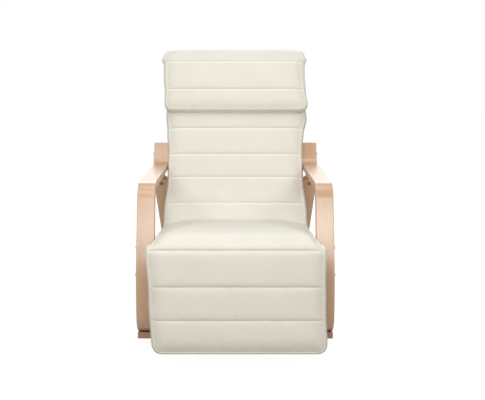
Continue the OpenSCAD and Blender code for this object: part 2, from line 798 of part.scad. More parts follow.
pad_low = rail_d / 2 + seat_gap;
pad_face = pad_low + pad_t;
fold_turn = turn_of(seat_dir + 180, back_dir);
fold_dir = (seat_dir + back_dir) / 2;
corner_run = corner_r * tan(fold_turn / 2);
crease_low = corner_r / cos(fold_turn / 2) - (corner_r - rail_d / 2) + seat_gap;
crease_high = pad_face / cos(fold_turn / 2);
crease_s = pad_face * tan(fold_turn / 2);
function crease(r, side) = corner + r * unit(fold_dir) + side * seat_gap / 2 * unit(fold_dir + 90);

// The height of the quilted face at distance t, between the seams at a and b.
function puff(t, a, b) = pad_face - seam_dip * pow(abs(2 * (t - a) / (b - a) - 1), 3);
puff_steps = [0, 0.12, 0.3, 0.5, 0.7, 0.88];
function quilted(seams) = [
  for (i = [0:len(seams) - 2]) for (f = puff_steps)
    let (a = seams[i], b = seams[i + 1], t = a + f * (b - a)) [t, puff(t, a, b)]
];

seat_seams = [crease_s, seat_len - fold_gap];
first_back_seam = crease_s + channel * 2 / 3;
back_seams = [crease_s, for (i = [0:5]) first_back_seam + channel * i, pad_top - pad_t / 2];
foot_seams = [fold_gap, foot_pad_len - 2 * channel, foot_pad_len - channel, foot_pad_len];
pad_half = xi - side_gap;

seat_pad_outline = concat(
  [crease(crease_low, 1), crease(crease_high - seam_dip, 1)],
  [for (p = quilted(seat_seams)) if (p[0] > crease_s + 1) on_seat(p[0], p[1])],
  [on_seat(seat_len - fold_gap, pad_face - seam_dip), on_seat(seat_len - fold_gap, pad_low),
   on_seat(corner_run, pad_low)]
);

back_pad_outline = concat(
  [on_back(corner_run, pad_low), on_back(pad_top, pad_low), on_back(pad_top, pad_face - 0.6 * pad_t)],
  [on_back(pad_top - pad_t / 6, pad_face - 0.3 * pad_t)],
  reversed([for (p = quilted(back_seams)) if (p[0] > crease_s + 1) on_back(p[0], p[1])]),
  [crease(crease_high - seam_dip, -1), crease(crease_low, -1)]
);

foot_pad_outline = concat(
  [on_foot(fold_gap, pad_low)],
  [for (p = quilted(foot_seams)) on_foot(p[0], p[1])],
  [on_foot(foot_pad_len, pad_face - 0.5 * pad_t), on_foot(foot_pad_len, pad_low)]
);

// The overall box runs from the footrest's cushion to the rockers' tails.
centre_y = (min([for (p = foot_pad_outline) p[0]]) + rocker_rear) / 2;

module seat_cushion() { color(cotton) place() across(seat_pad_outline, -pad_half, 2 * pad_half); }
module back_cushion() { color(cotton) place() across(back_pad_outline, -pad_half, 2 * pad_half); }
module footrest_cushion() { color(cotton) place() across(foot_pad_outline, -foot_pad_w / 2, foot_pad_w); }

// ---- head pillow: a front cushion, a cap over the pad's top and a flap behind -----------

pillow_back = pad_face + seat_gap;
pillow_seam = pillow_low + channel * 0.9;
pillow_top_seam = pillow_seam + channel * 1.2;
cap_low = pad_top + seat_gap;
cap_high = pad_top + cover_t;
flap_face = -rail_d / 2 - side_gap;
flap_back = flap_face - flap_t;

pillow_outline = [
  on_back(pillow_low + 12, pillow_back),
  on_back(pillow_low + 2, pillow_back + 0.3 * pillow_t),
  on_back(pillow_low, pillow_back + 0.55 * pillow_t),
  on_back(pillow_low + 8, pillow_back + 0.85 * pillow_t),
  on_back(pillow_low + 28, pillow_back + pillow_t),
  on_back(pillow_seam - 20, pillow_back + pillow_t),
  on_back(pillow_seam, pillow_back + pillow_t - seam_dip),
  on_back(pillow_seam + 20, pillow_back + pillow_t),
  on_back(pillow_top_seam - 20, pillow_back + pillow_t),
  on_back(pillow_top_seam, pillow_back + pillow_t - seam_dip),
  on_back(cap_high - 45, pillow_back + 0.8 * pillow_t),
  on_back(cap_high - 16, pillow_back + 0.45 * pillow_t),
  on_back(cap_high - 2, pillow_back)
];

cap_outline = [
  on_back(cap_low, pillow_back),
  on_back(cap_high - 2, pillow_back),
  on_back(cap_high, pillow_back - 18),
  on_back(cap_high, 0),
  on_back(cap_high - 4, flap_back + 8),
  on_back(cap_high - 12, flap_back),
  on_back(cap_low, flap_back)
];

flap_outline = [
  on_back(cap_low, flap_face),
  on_back(cap_low, flap_back),
  on_back(pad_top - flap_len, flap_back),
  on_back(pad_top - flap_len, flap_face)
];

module head_pillow() { color(cotton) place() across(pillow_outline, -pillow_w / 2, pillow_w); }
module pillow_cap() { color(cotton) place() across(cap_outline, -pillow_w / 2, pillow_w); }
module pillow_flap() { color(cotton) place() across(flap_outline, -pillow_w / 2, pillow_w); }

left_arm();
right_arm();
left_rear_leg();
right_rear_leg();
left_rocker();
right_rocker();
front_tie();
rear_tie();
tie_bolts();
tie_inserts();
left_rear_bracket();
right_rear_bracket();
bracket_bolts();
bracket_screws();
left_rail();
right_rail();
seat_front_bar();
back_top_bar();
bar_screws();
seat_slat(1);  // seat_slat_1
seat_slat(2);  // seat_slat_2
seat_slat(3);  // seat_slat_3
seat_slat(4);  // seat_slat_4
back_slat(1);  // back_slat_1
back_slat(2);  // back_slat_2
back_slat(3);  // back_slat_3
back_slat(4);  // back_slat_4
back_slat(5);  // back_slat_5
back_slat(6);  // back_slat_6
back_slat(7);  // back_slat_7
slat_screws();
side_bolts();
side_nuts();
left_rack();
right_rack();
rack_dowels();
hinge_bolts();
hinge_nuts();
hinge_washers();
left_foot_rail();
right_foot_rail();
foot_end_bar();
foot_bar_screws();
foot_slat(1);  // foot_slat_1
foot_slat(2);  // foot_slat_2
foot_slat(3);  // foot_slat_3
foot_slat_screws();
prop_pins();
left_prop_arm();
right_prop_arm();
prop_bar();
prop_spacers();
seat_cushion();
back_cushion();
footrest_cushion();
head_pillow();
pillow_cap();
pillow_flap();
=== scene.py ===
# A bentwood rocking recliner with a quilted pad, a head pillow and a fold-down footrest.
# Side views are worked in (y, z), in metres: the chair faces -Y, and +X is the sitter's left.

import json
from math import asin, atan2, ceil, copysign, cos, degrees, pi, radians, sin, sqrt, tan

import bmesh
import bpy
import numpy as np
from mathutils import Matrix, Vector


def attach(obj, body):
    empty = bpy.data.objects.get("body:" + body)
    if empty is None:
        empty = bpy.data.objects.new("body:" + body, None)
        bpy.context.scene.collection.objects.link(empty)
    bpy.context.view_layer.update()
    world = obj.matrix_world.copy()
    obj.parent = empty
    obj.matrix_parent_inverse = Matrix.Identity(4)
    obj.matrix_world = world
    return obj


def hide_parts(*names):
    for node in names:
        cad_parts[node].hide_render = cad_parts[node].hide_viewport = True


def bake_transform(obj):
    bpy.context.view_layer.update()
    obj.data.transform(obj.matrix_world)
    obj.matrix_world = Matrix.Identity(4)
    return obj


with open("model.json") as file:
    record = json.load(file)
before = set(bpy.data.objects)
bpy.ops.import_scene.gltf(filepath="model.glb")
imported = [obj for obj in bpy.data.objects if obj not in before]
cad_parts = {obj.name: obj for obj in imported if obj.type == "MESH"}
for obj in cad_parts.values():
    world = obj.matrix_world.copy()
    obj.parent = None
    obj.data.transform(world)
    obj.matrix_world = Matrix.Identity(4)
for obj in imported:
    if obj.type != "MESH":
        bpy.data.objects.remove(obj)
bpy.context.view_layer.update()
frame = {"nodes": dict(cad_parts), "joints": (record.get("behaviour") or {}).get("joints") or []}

# ---- Camera and studio ----
# The chair stands on a plain white floor that meets white air, seen straight from the
# front and a little from above.  Soft lamps stand at both sides of it, above, in front and
# behind, two small ones give the lacquer its sheen, and the white air fills the rest.

scene = bpy.context.scene
scene.view_settings.view_transform = "Standard"


def set_all(thing, **values):
    for name, value in values.items():
        setattr(thing, name, value)


def new_object(name, data):
    """An object of its own for a mesh, a lamp or a camera."""
    thing = bpy.data.objects.new(name, data)
    scene.collection.objects.link(thing)
    return thing


camera = new_object("camera", bpy.data.cameras.new("camera"))
looks_down = 8  # degrees
set_all(camera, location=(0.0, -2.621, 0.968), rotation_euler=(radians(90 - looks_down), 0, 0))
set_all(camera.data, lens=52.4, shift_x=0.0148, shift_y=-0.0784)
scene.camera = camera


def feed(tree, node, inputs):
    """Fills a node's inputs, by name or number, with values or with other nodes' outputs."""
    for key, value in inputs.items():
        if isinstance(value, bpy.types.NodeSocket):
            tree.links.new(value, node.inputs[key])
        else:
            node.inputs[key].default_value = value


def add(tree, kind, inputs=None, **settings):
    """Adds a node with its own settings and its inputs, and gives the node's outputs."""
    node = tree.nodes.new(kind)
    set_all(node, **settings)
    feed(tree, node, inputs or {})
    return node.outputs


def combined(tree, kind, first, second):
    """Two values worked into one by a Math node."""
    return add(tree, "ShaderNodeMath", {0: first, 1: second}, operation=kind)[0]


def weighed(tree, *parts):
    """The sum of (value, weight) pairs."""
    total = None
    for value, weight in parts:
        if weight != 1:
            value = combined(tree, "MULTIPLY", value, weight)
        total = value if total is None else combined(tree, "ADD", total, value)
    return total


def mixed(tree, share, first, second):
    """A colour mixed by share; first and second are outputs or plain colours."""
    return add(tree, "ShaderNodeMix", {0: share, 6: first, 7: second}, data_type="RGBA")[2]


def ranged(tree, value, low, high, to_low=0.0, to_high=1.0):
    """A value mapped from low..high to another range, and held within it."""
    ends = {"From Min": low, "From Max": high, "To Min": to_low, "To Max": to_high}
    return add(tree, "ShaderNodeMapRange", {"Value": value, **ends})[0]


def seen_directly(tree):
    """1 for rays from the camera and for rays that a mirror or glass passes on, else 0."""
    rays = add(tree, "ShaderNodeLightPath")
    mirrored = combined(tree, "MAXIMUM", rays["Is Glossy Ray"], rays["Is Transmission Ray"])
    return combined(tree, "MAXIMUM", rays["Is Camera Ray"], mirrored)


air = bpy.data.worlds.new("air")
air.use_nodes = True
scene.world = air
tree = air.node_tree
fill = tree.nodes["Background"]
feed(tree, fill, {"Color": (1, 1, 1, 1), "Strength": 0.28})
white = add(tree, "ShaderNodeBackground", {"Color": (1, 1, 1, 1)})[0]
choice = add(tree, "ShaderNodeMixShader", {0: seen_directly(tree), 1: fill.outputs[0], 2: white})
feed(tree, tree.nodes["World Output"], {"Surface": choice[0]})

lit_spot = Vector((0, 0, 0.6))
for name, place, power, size in (
    ("side_left", (1.9, -1.0, 2.3), 11.5, 0.7),
    ("side_right", (-1.9, -1.0, 2.3), 10, 0.7),
    ("high", (0.0, -0.3, 2.9), 14, 1.2),
    ("upper_right", (-0.58, -1.5, 2.4), 3.4, 0.5),
    ("near", (-0.15, -1.45, 1.4), 4.6, 0.5),
    ("front", (-0.05, -3.0, 1.1), 13, 0.6),
    ("front_left", (0.7, -3.3, 1.32), 6.5, 0.34),
    ("front_right", (-0.7, -3.3, 1.32), 4.6, 0.40),
    ("behind", (0.0, 2.6, 2.2), 36, 2.0),
):
    lamp = new_object(name, bpy.data.lights.new(name, "AREA"))
    set_all(lamp.data, energy=power, size=size)
    aim = (lit_spot - Vector(place)).to_track_quat("-Z", "Y")
    set_all(lamp, location=place, rotation_euler=aim.to_euler())


def new_piece(name, mesh, material):
    mesh.materials.clear()
    mesh.materials.append(material)
    return new_object(name, mesh)


def new_finish(name, roughness=0.5):
    """A material, its tree and its shader."""
    finish = bpy.data.materials.new(name)
    finish.use_nodes = True
    shader = finish.node_tree.nodes["Principled BSDF"]
    shader.inputs["Roughness"].default_value = roughness
    return finish, finish.node_tree, shader


def own_place(tree):
    """Coordinates on the object itself."""
    return add(tree, "ShaderNodeTexCoord")["Object"]


paint, tree, shader = new_finish("floor_paint", 0.9)
away = add(tree, "ShaderNodeVectorMath", {0: own_place(tree)}, operation="LENGTH")["Value"]
whiter = ranged(tree, away, 0.8, 2.4, 0.94, 1.0)
bounced, shown = (0.44, 0.41, 0.35, 1), (0.14, 0.14, 0.14, 1)
feed(tree, shader, {
    "Base Color": mixed(tree, seen_directly(tree), bounced, shown),
    "Specular IOR Level": 0.0,
    "Emission Color": (1, 1, 1, 1),
    "Emission Strength": combined(tree, "MULTIPLY", seen_directly(tree), whiter),
})
floor_half = 12
ground = bpy.data.meshes.new("floor")
ends = [(x * floor_half, y * floor_half, 0) for x, y in ((-1, -1), (1, -1), (1, 1), (-1, 1))]
ground.from_pydata(ends, [], [range(4)])
new_piece("floor", ground, paint)

# ---- Arm bows ----
# Each arm bow is one strip of birch plies, glued up in a hot mould: it rises behind the
# sitter's elbow, lies level under the forearm, drops as the front leg and curls back on
# the rocker.  Clear satin lacquer covers it, and its plies show along both edges.

strip_w = 0.060
strip_t = 0.022
edge_round = 0.0022
bend_step = 5  # degrees between the sections of a tight bend


def along(angle):
    return np.array([cos(radians(angle)), sin(radians(angle))])


def heading(p, q):
    return degrees(atan2(q[1] - p[1], q[0] - p[0]))


def bend(centre, radius, start, turn, step=bend_step, first=0):
    """Stations (point, heading) of an arc that starts at a heading and turns by turn."""
    count = max(1, ceil(abs(turn) / step))
    side = copysign(radius, turn)
    steps = [start + turn * k / count for k in range(first, count + 1)]
    return [(centre - side * along(h + 90), h) for h in steps]


def bent_line(corners, radii, steps):
    """Stations of a line through the corners, each rounded to its radius."""
    line = [(corners[0], heading(corners[0], corners[1]))]
    for p, v, q, radius, step in zip(corners, corners[1:], corners[2:], radii, steps):
        h = heading(p, v)
        turn = (heading(v, q) - h + 180) % 360 - 180
        start = v - radius * tan(radians(abs(turn) / 2)) * along(h)
        line += bend(start + copysign(radius, turn) * along(h + 90), radius, h, turn, step)
    return line + [(corners[-1], heading(corners[-2], corners[-1]))]


hinge_at = next(j for j in frame["joints"] if j["name"] == "footrest_hinge")["pos_m"]
hinge = np.array(hinge_at[1:])
seat_dir, seat_up = 172, 82  # the seat falls 8 degrees to the back
back_dir, back_up = 63, 153  # the back leans 27 degrees
foot_dir, foot_up = 262, 172
seat_len = 0.511
corner = hinge - seat_len * along(seat_dir)


def on_seat(s, m):
    return corner + s * along(seat_dir) + m * along(seat_up)


def on_back(b, m):
    return corner + b * along(back_dir) + m * along(back_up)


def on_foot(u, n):
    return hinge + u * along(foot_dir) + n * along(foot_up)


lowest_y = corner[0] - 0.085  # the rockers rest on the floor here
rocker_r = 1.25
rocker_c = np.array([lowest_y, rocker_r])
foot_arc_r = rocker_r - 1.5 * strip_t
foot_r = 0.062
foot_len = 0.116
curl_reach = foot_arc_r - foot_r

arm_z = 0.565 - strip_t / 2
leg_y = lowest_y - 0.346
leg_lean = 15
knee = np.array([leg_y, 0.237])
knee_r = 0.680
arm_front = np.array([leg_y + (arm_z - knee[1]) * tan(radians(leg_lean)), arm_z])
upturn_at = (arm_z - corner[1]) / sin(radians(back_dir))
upturn_len = 0.098
arm_rear = on_back(upturn_at, 0)
arm_end = on_back(upturn_at + upturn_len, 0)


def foot_arc(start, turn, flip):
    """Stations of a foot that lies on the rocker from one of the rocker's angles."""
    angles = [start + turn * k / 4 for k in range(1, 5)]
    return [(rocker_c - foot_arc_r * along(a + 90), a + flip) for a in angles]


foot_sweep = degrees(foot_len / foot_arc_r)
curl_y = leg_y + foot_r
front_angle = degrees(asin((curl_y - lowest_y) / curl_reach))
front_curl = np.array([curl_y, rocker_c[1] - sqrt(curl_reach**2 - (curl_y - lowest_y) ** 2)])
arm_line = bent_line(
    [arm_end, arm_rear, arm_front, knee, np.array([leg_y, front_curl[1]])],
    [0.055, 0.050, knee_r],
    [bend_step, bend_step, 1.5],
)
arm_line += bend(front_curl, foot_r, -90, front_angle + 90, first=1)
arm_line += foot_arc(front_angle, foot_sweep, 0)


def section(width, depth, radius):
    """Points (across, through) round a strip's section, its four edges rounded."""
    points = []
    for quarter, (x, t) in enumerate(((1, 1), (-1, 1), (-1, -1), (1, -1))):
        middle = np.array([x * (width / 2 - radius), t * (depth / 2 - radius)])
        points += [middle + radius * along(90 * quarter + 30 * k) for k in range(4)]
    return points


def tube_faces(count, ring):
    """Faces between rings of vertices, each after the last, and over both ends."""
    faces = []
    for start in range(0, count - ring, ring):
        for k in range(ring):
            a, b = start + k, start + (k + 1) % ring
            faces.append((a, b, b + ring, a + ring))
    return faces + [tuple(range(ring))[::-1], tuple(range(count - ring, count))]


def closed_mesh(name, verts, faces):
    """A smooth mesh with its faces turned outwards."""
    mesh = bpy.data.meshes.new(name)
    mesh.from_pydata(verts, [], faces)
    turned = bmesh.new()
    turned.from_mesh(mesh)
    bmesh.ops.recalc_face_normals(turned, faces=turned.faces)
    turned.to_mesh(mesh)
    turned.free()
    mesh.shade_smooth()
    return mesh


def mark(mesh, name, values, domain="POINT"):
    """Keeps a number or a vector at each vertex, or at each edge, of a mesh."""
    values = np.array(values, np.float32)
    kind, field = ("FLOAT_VECTOR", "vector") if values.ndim > 1 else ("FLOAT", "value")
    mesh.attributes.new(name, kind, domain).data.foreach_set(field, values.ravel())


def set_in_mesh(piece):
    """Works the piece's modifiers into a plain mesh."""
    seen = bpy.context.evaluated_depsgraph_get()
    mesh = bpy.data.meshes.new_from_object(piece.evaluated_get(seen), depsgraph=seen)
    piece.modifiers.clear()
    piece.data = mesh
    mesh.name = piece.name


def swept(name, line, x, width, depth, material):
    """A strip along its stations, (point, heading) or (point, heading, scale).  Its grain
    attribute holds, in metres, the place along it, across it and through its thickness."""
    ease = 0.7 * edge_round
    length = 0
    verts, grain = [], []
    for i, (p, h, *scale) in enumerate(line):
        wide, deep = scale[0] if scale else (1, 1)
        rings = [(0.0, 0.0)]
        if i == 0:
            rings = [(0.0, ease), (ease, 0.0)]
        elif i == len(line) - 1:
            rings = [(-ease, 0.0), (0.0, ease)]
        if i:
            length += float(np.linalg.norm(p - line[i - 1][0]))
        for onward, less in rings:
            size = width * wide - 2 * less, depth * deep - 2 * less
            ring = section(*size, edge_round - less)
            for across, through in ring:
                y, z = p + onward * along(h) + through * along(h + 90)
                verts.append((x + across, y, z))
                grain.append((length + onward, across, through))
    mesh = closed_mesh(name, verts, tube_faces(len(verts), len(ring)))
    mark(mesh, "grain", grain)
    piece = new_piece(name, mesh, material)
    piece.modifiers.new("flat_faces", "WEIGHTED_NORMAL")
    set_in_mesh(piece)
    return piece


def new_tree(name, kind, inputs, outputs):
    """A node tree, what it is given, and its end.  Each socket comes with its first value,
    or with a word for what it holds."""
    tree = bpy.data.node_groups.new(name, kind)
    for way, sockets in (("INPUT", inputs), ("OUTPUT", outputs)):
        for label, value in sockets.items():
            plain = isinstance(value, str)
            holds = value if plain else {int: "Int", float: "Float"}[type(value)]
            socket = tree.interface.new_socket(label, in_out=way, socket_type=f"NodeSocket{holds}")
            if not plain:
                socket.default_value = value
    return tree, add(tree, "NodeGroupInput"), tree.nodes.new("NodeGroupOutput")


def noise_of(tree, place, scale, detail=3.0, rough=0.55):
    """Noise on coordinates that are multiplied along each axis."""
    scaled = add(tree, "ShaderNodeVectorMath", {0: place, 1: scale}, operation="MULTIPLY")[0]
    inputs = {"Vector": scaled, "Scale": 1.0, "Detail": detail, "Roughness": rough}
    return add(tree, "ShaderNodeTexNoise", inputs)[0]


# Place is (along the grain, across it, through the plies), in metres.
surface = {"Color": "Color", "Roughness": "Float", "Height": "Float"}
grain_group, given, made = new_tree(
    "birch_grain", "ShaderNodeTree",
    {"Place": "Vector", "Pale": "Color", "Deep": "Color", "Half Width": 0.03, "Ply": 0.0016,
     "Gloss": 0.4},
    {**surface, "Coat": "Float"},
)
tree = grain_group
place, pale, deep = given["Place"], given["Pale"], given["Deep"]
split = add(tree, "ShaderNodeSeparateXYZ", {0: place})
fibres = noise_of(tree, place, (7.0, 420.0, 420.0), 4.0, 0.6)
figure = noise_of(tree, place, (1.6, 26.0, 26.0), 2.0)
flecks = noise_of(tree, place, (60.0, 1100.0, 1100.0), 1.0)
shade = weighed(
    tree, (ranged(tree, fibres, 0.3, 0.7), 0.55), (ranged(tree, figure, 0.3, 0.7), 0.45))
face = mixed(tree, shade, pale, deep)
face = mixed(tree, ranged(tree, flecks, 0.69, 0.76, 0.0, 0.35), face, deep)
level = combined(tree, "DIVIDE", split["Z"], given["Ply"])
level = weighed(tree, (level, 1), (noise_of(tree, place, (9.0, 5.0, 60.0)), 0.5))
plies = ranged(tree, combined(tree, "PINGPONG", level, 1.0), 0.35, 0.65)
# The ply edges are mixed toward a deep red-brown: partly the end grain's own darker tone and
# partly painted shade on the strips' edges.
edge = mixed(tree, 0.35, mixed(tree, plies, deep, pale), (0.36, 0.18, 0.09, 1))
glue = combined(tree, "PINGPONG", combined(tree, "ADD", level, 0.5), 0.5)
edge = mixed(tree, ranged(tree, glue, 0.0, 0.06, 0.45, 0.0), edge, (0.20, 0.10, 0.05, 1))
off_middle = add(tree, "ShaderNodeMath", {0: split["Y"]}, operation="ABSOLUTE")[0]
inset = combined(tree, "SUBTRACT", given["Half Width"], off_middle)
on_edge = ranged(tree, inset, 0.0012, 0.0004)
coat = ranged(tree, inset, 0.0004, 0.0012, 0.1, 1.0)
feed(tree, made, {
    "Color": mixed(tree, on_edge, face, edge),
    "Coat": combined(tree, "MULTIPLY", coat, given["Gloss"]),
    "Roughness": ranged(tree, fibres, 0.3, 0.7, 0.30, 0.42),
    "Height": weighed(tree, (fibres, 1), (on_edge, plies)),
})


def bumped(tree, height, depth, strength=1.0):
    """Normals from a height that goes down by depth."""
    inputs = {"Strength": strength, "Distance": depth, "Height": height}
    return add(tree, "ShaderNodeBump", inputs)[0]


def wood(name, pale, deep, turn=None, gloss=0.4):
    """Lacquered birch.  A bent strip reads its own grain attribute; a straight piece reads
    Object coordinates, turned so that X runs along the grain, and shows no plies."""
    finish, tree, shader = new_finish(name)
    if turn is None:
        place = add(tree, "ShaderNodeAttribute", attribute_name="grain")["Vector"]
        half_width = strip_w / 2
    else:
        place = add(tree, "ShaderNodeMapping", {
            "Vector": own_place(tree), "Rotation": [radians(a) for a in turn],
        })[0]
        half_width = 1.0
    grain = add(tree, "ShaderNodeGroup", {
        "Place": place, "Pale": pale, "Deep": deep, "Half Width": half_width, "Gloss": gloss,
    }, node_tree=grain_group)
    feed(tree, shader, {
        "Base Color": grain["Color"],
        "Roughness": grain["Roughness"],
        "Normal": bumped(tree, grain["Height"], 0.00012, 0.6),
        "Coat Weight": grain["Coat"] if turn is None else gloss,
        "Coat Roughness": 0.2,
        "Coat IOR": 1.9,
    })
    return finish


bent_birch = wood("bent_birch", (0.61, 0.39, 0.235, 1), (0.50, 0.30, 0.165, 1))
strip_x = 0.300
sides = (("left", 1), ("right", -1))


def two_strips(name, node, line, material, x=strip_x, width=strip_w, depth=strip_t):
    """The same strip at each side of the chair, where it stands for a CAD node."""
    for side, sign in sides:
        strip = swept(f"{side}_{name}", line, sign * x, width, depth, material)
        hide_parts(f"{side}_{node}")
        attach(strip, "frame")


two_strips("arm_bow", "arm", arm_line, bent_birch)

# ---- Rear legs ----
# The rear leg is a strip of the same plies.  Its rounded upper end is bolted to a bracket
# under the back of the arm, and it slants down and curls forward onto the rocker.

rear_bolt = arm_rear + np.array([0.006, -0.064])
rear_h = -45.5
# The leg runs straight until its curl can lie on the rocker.
toward = rear_bolt + foot_r * along(rear_h - 90) - rocker_c
part = toward @ along(rear_h)
run = sqrt(part**2 - toward @ toward + curl_reach**2) - part
rear_curl = rocker_c + toward + run * along(rear_h)
rear_angle = degrees(asin((rear_curl[0] - lowest_y) / curl_reach))


def round_end(p, h, radius, scale):
    """Stations of a rounded end round p, from its tip on; scale gives their widths and
    depths from their share of the whole."""
    cap = []
    for a in range(10, 100, 10):
        back, share = cos(radians(a)), sin(radians(a))
        cap.append((p - radius * back * along(h), h, scale(share)))
    return cap


rear_line = round_end(rear_bolt, rear_h, strip_w / 2, lambda share: (share, 1))
rear_line.append((rear_bolt + run * along(rear_h), rear_h))
rear_line += bend(rear_curl, foot_r, rear_h, rear_angle - 180 - rear_h, first=1)
rear_line += foot_arc(rear_angle, -foot_sweep, 180)
# The rear legs' birch is painted paler and warmer than the arm bows': painted light for the light
# that the pad and arms keep off them.
shaded_birch = wood("shaded_birch", (0.93, 0.60, 0.36, 1), (0.77, 0.46, 0.25, 1))
two_strips("rear_leg_strip", "rear_leg", rear_line, shaded_birch)

# ---- Rockers ----
# A rocker is one long slow arc of the same strip, bolted up into the two curled feet.

rocker_back, rocker_front = 0.545, 0.335
ends = [degrees(asin(y / rocker_r)) for y in (-rocker_front, rocker_back)]
angles = np.linspace(*ends, ceil(ends[1] - ends[0]) + 1)
rocker_line = [(rocker_c - (rocker_r - strip_t / 2) * along(a + 90), a) for a in angles]
# The rockers' birch is darker and redder than the arm bows': partly a darker stain and partly
# painted shade low under the chair.
foot_birch = wood("foot_birch", (0.42, 0.205, 0.115, 1), (0.30, 0.14, 0.07, 1), gloss=0.12)
two_strips("rocker_strip", "rocker", rocker_line, foot_birch)

# ---- Side rails of the seat and the back ----
# Each rail is one deep strip of plies, bent where the seat meets the back, with both ends
# rounded.  It is bolted inside the arm bow, and carries the slats in notches in its top.

rail_w, rail_d = 0.025, 0.040
rail_x = 0.2575
rail_top = 0.735
rail_bend_r = 0.070
rail_line = bent_line([hinge, corner, on_back(rail_top, 0)], [rail_bend_r], [bend_step])
low_end = round_end(*rail_line[0], rail_d / 2, lambda share: (1, share))
high_end = round_end(*rail_line[-1], -rail_d / 2, lambda share: (1, share))
rail_line = low_end + rail_line[1:-1] + high_end[::-1]
two_strips("bent_rail", "rail", rail_line, bent_birch, rail_x, rail_w, rail_d)

# ---- Slats ----
# Thin birch slats lie across the rails, four in the seat, seven in the back and three in
# the footrest, let into the rails' tops and held by a countersunk screw at each end.

slat_birch = wood("slat_birch", (0.84, 0.68, 0.50, 1), (0.70, 0.50, 0.33, 1), (0, 0, 0), 0.2)


def growth_tree(name, **inputs):
    """A Geometry Nodes tree that grows a piece in its finish from a mesh."""
    inputs = {"Mesh": "Geometry", **inputs, "Finish": "Material"}
    return new_tree(name, "GeometryNodeTree", inputs, {"Mesh": "Geometry"})


def closing(tree, geometry, given, made, smooth=False):
    """Ends a tree: real copies, in their material."""
    if smooth:
        geometry = add(tree, "GeometryNodeSetShadeSmooth", {"Geometry": geometry})[0]
    real = add(tree, "GeometryNodeRealizeInstances", {"Geometry": geometry})[0]
    inputs = {"Geometry": real, "Material": given["Finish"]}
    feed(tree, made, {"Mesh": add(tree, "GeometryNodeSetMaterial", inputs)[0]})


def grown(name, mesh, tree, **values):
    """A piece made by a tree from a starting mesh, set into a plain mesh."""
    piece = new_object(name, mesh)
    growth = piece.modifiers.new("growth", "NODES")
    sockets = {s.name: s.identifier for s in tree.interface.items_tree if s.in_out == "INPUT"}
    growth.node_group = tree
    for label, value in values.items():
        growth[sockets[label]] = value
    set_in_mesh(piece)
    return piece


slat_t = 0.008
slat_tree, given, made = growth_tree(
    "slat_row", Count=4, First="Vector", Step="Vector", Length=0.5, Width=0.053,
    Thickness=slat_t, Rounding=0.0025, Lean=0.0)
tree = slat_tree
row = add(tree, "GeometryNodeMeshLine", {
    "Count": given["Count"], "Start Location": given["First"], "Offset": given["Step"]})
half = combined(tree, "MULTIPLY", given["Length"], 0.5)
right = add(tree, "ShaderNodeCombineXYZ", {"X": half})[0]
left = add(tree, "ShaderNodeVectorMath", {0: right, "Scale": -1}, operation="SCALE")[0]
core = add(tree, "GeometryNodeCurvePrimitiveLine", {"Start": left, "End": right})
oblong = add(tree, "GeometryNodeCurvePrimitiveQuadrilateral", {
    "Width": given["Width"], "Height": given["Thickness"]})
rounded = add(tree, "GeometryNodeFilletCurve", {
    "Curve": oblong[0], "Radius": given["Rounding"], "Count": 3}, mode="POLY")
slat = add(tree, "GeometryNodeCurveToMesh", {
    "Curve": core[0], "Profile Curve": rounded[0], "Fill Caps": True})
turn = add(tree, "ShaderNodeCombineXYZ", {"X": given["Lean"]})
copies = add(tree, "GeometryNodeInstanceOnPoints", {
    "Points": row[0], "Instance": slat[0], "Rotation": turn[0]})
closing(tree, copies[0], given, made)

slat_top = 0.020
slat_mid = slat_top - slat_t / 2
for part, count, first, pitch, lean, length, body in (
    ("seat", 4, on_seat(0.100, slat_mid), 0.082, seat_dir, 0.5174, "frame"),
    ("back", 7, on_back(0.118, slat_mid), 0.082, back_dir, 0.5174, "frame"),
    ("foot", 3, on_foot(0.055, slat_mid), 0.072, foot_dir, 0.4634, "footrest"),
):
    name = f"{part}_slats"
    slats = grown(name, bpy.data.meshes.new(name), slat_tree, Count=count, First=(0, *first),
                  Step=(0, *(pitch * along(lean))), Length=length, Lean=radians(lean),
                  Finish=slat_birch)
    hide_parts(*[f"{part}_slat_{k + 1}" for k in range(count)])
    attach(slats, body)

# ---- Ties and cross bars ----
# Two flat ties join the rockers from foot to foot, and three square bars cross the seat's
# front, the back's top and the footrest's end.  They are solid birch with eased edges.


def softened(node, name, material, radius, body):
    """A copy of a CAD node with its edges rounded, which then stands for that node."""
    mesh = frame["nodes"][node].data.copy()
    mesh.name = name
    welded = bmesh.new()
    welded.from_mesh(mesh)
    bmesh.ops.remove_doubles(welded, verts=welded.verts, dist=1e-6)
    bmesh.ops.dissolve_limit(
        welded, angle_limit=radians(1), verts=welded.verts, edges=welded.edges)
    welded.to_mesh(mesh)
    welded.free()
    mesh.shade_smooth()
    piece = new_piece(name, mesh, material)
    set_all(piece.modifiers.new("eased_edges", "BEVEL"), width=radius, segments=3,
            limit_method="ANGLE", angle_limit=radians(35), use_clamp_overlap=True)
    piece.modifiers.new("flat_faces", "WEIGHTED_NORMAL")
    set_in_mesh(piece)
    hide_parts(node)
    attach(piece, body)


wood_ease = 0.002
tie_birch = wood("tie_birch", (0.70, 0.47, 0.29, 1), (0.58, 0.36, 0.21, 1), (0, 0, 0), 0.3)
for node, name, body, slot in (
    ("front_tie", "front_cross_tie", "frame", "birch_shaded"),
    ("rear_tie", "rear_cross_tie", "frame", "birch_shaded"),
    ("seat_front_bar", "seat_bar", "frame", "slat_wood"),
    ("back_top_bar", "back_bar", "frame", "slat_wood"),
    ("foot_end_bar", "footrest_bar", "footrest", "slat_wood"),
):
    softened(node, name, tie_birch, wood_ease, body)

# ---- Footrest rails and notched racks ----
# The footrest's rails are straight birch bars that turn on the hinge bolts.  Inside each
# front leg is a birch rack, whose notches catch the prop bar at each height.

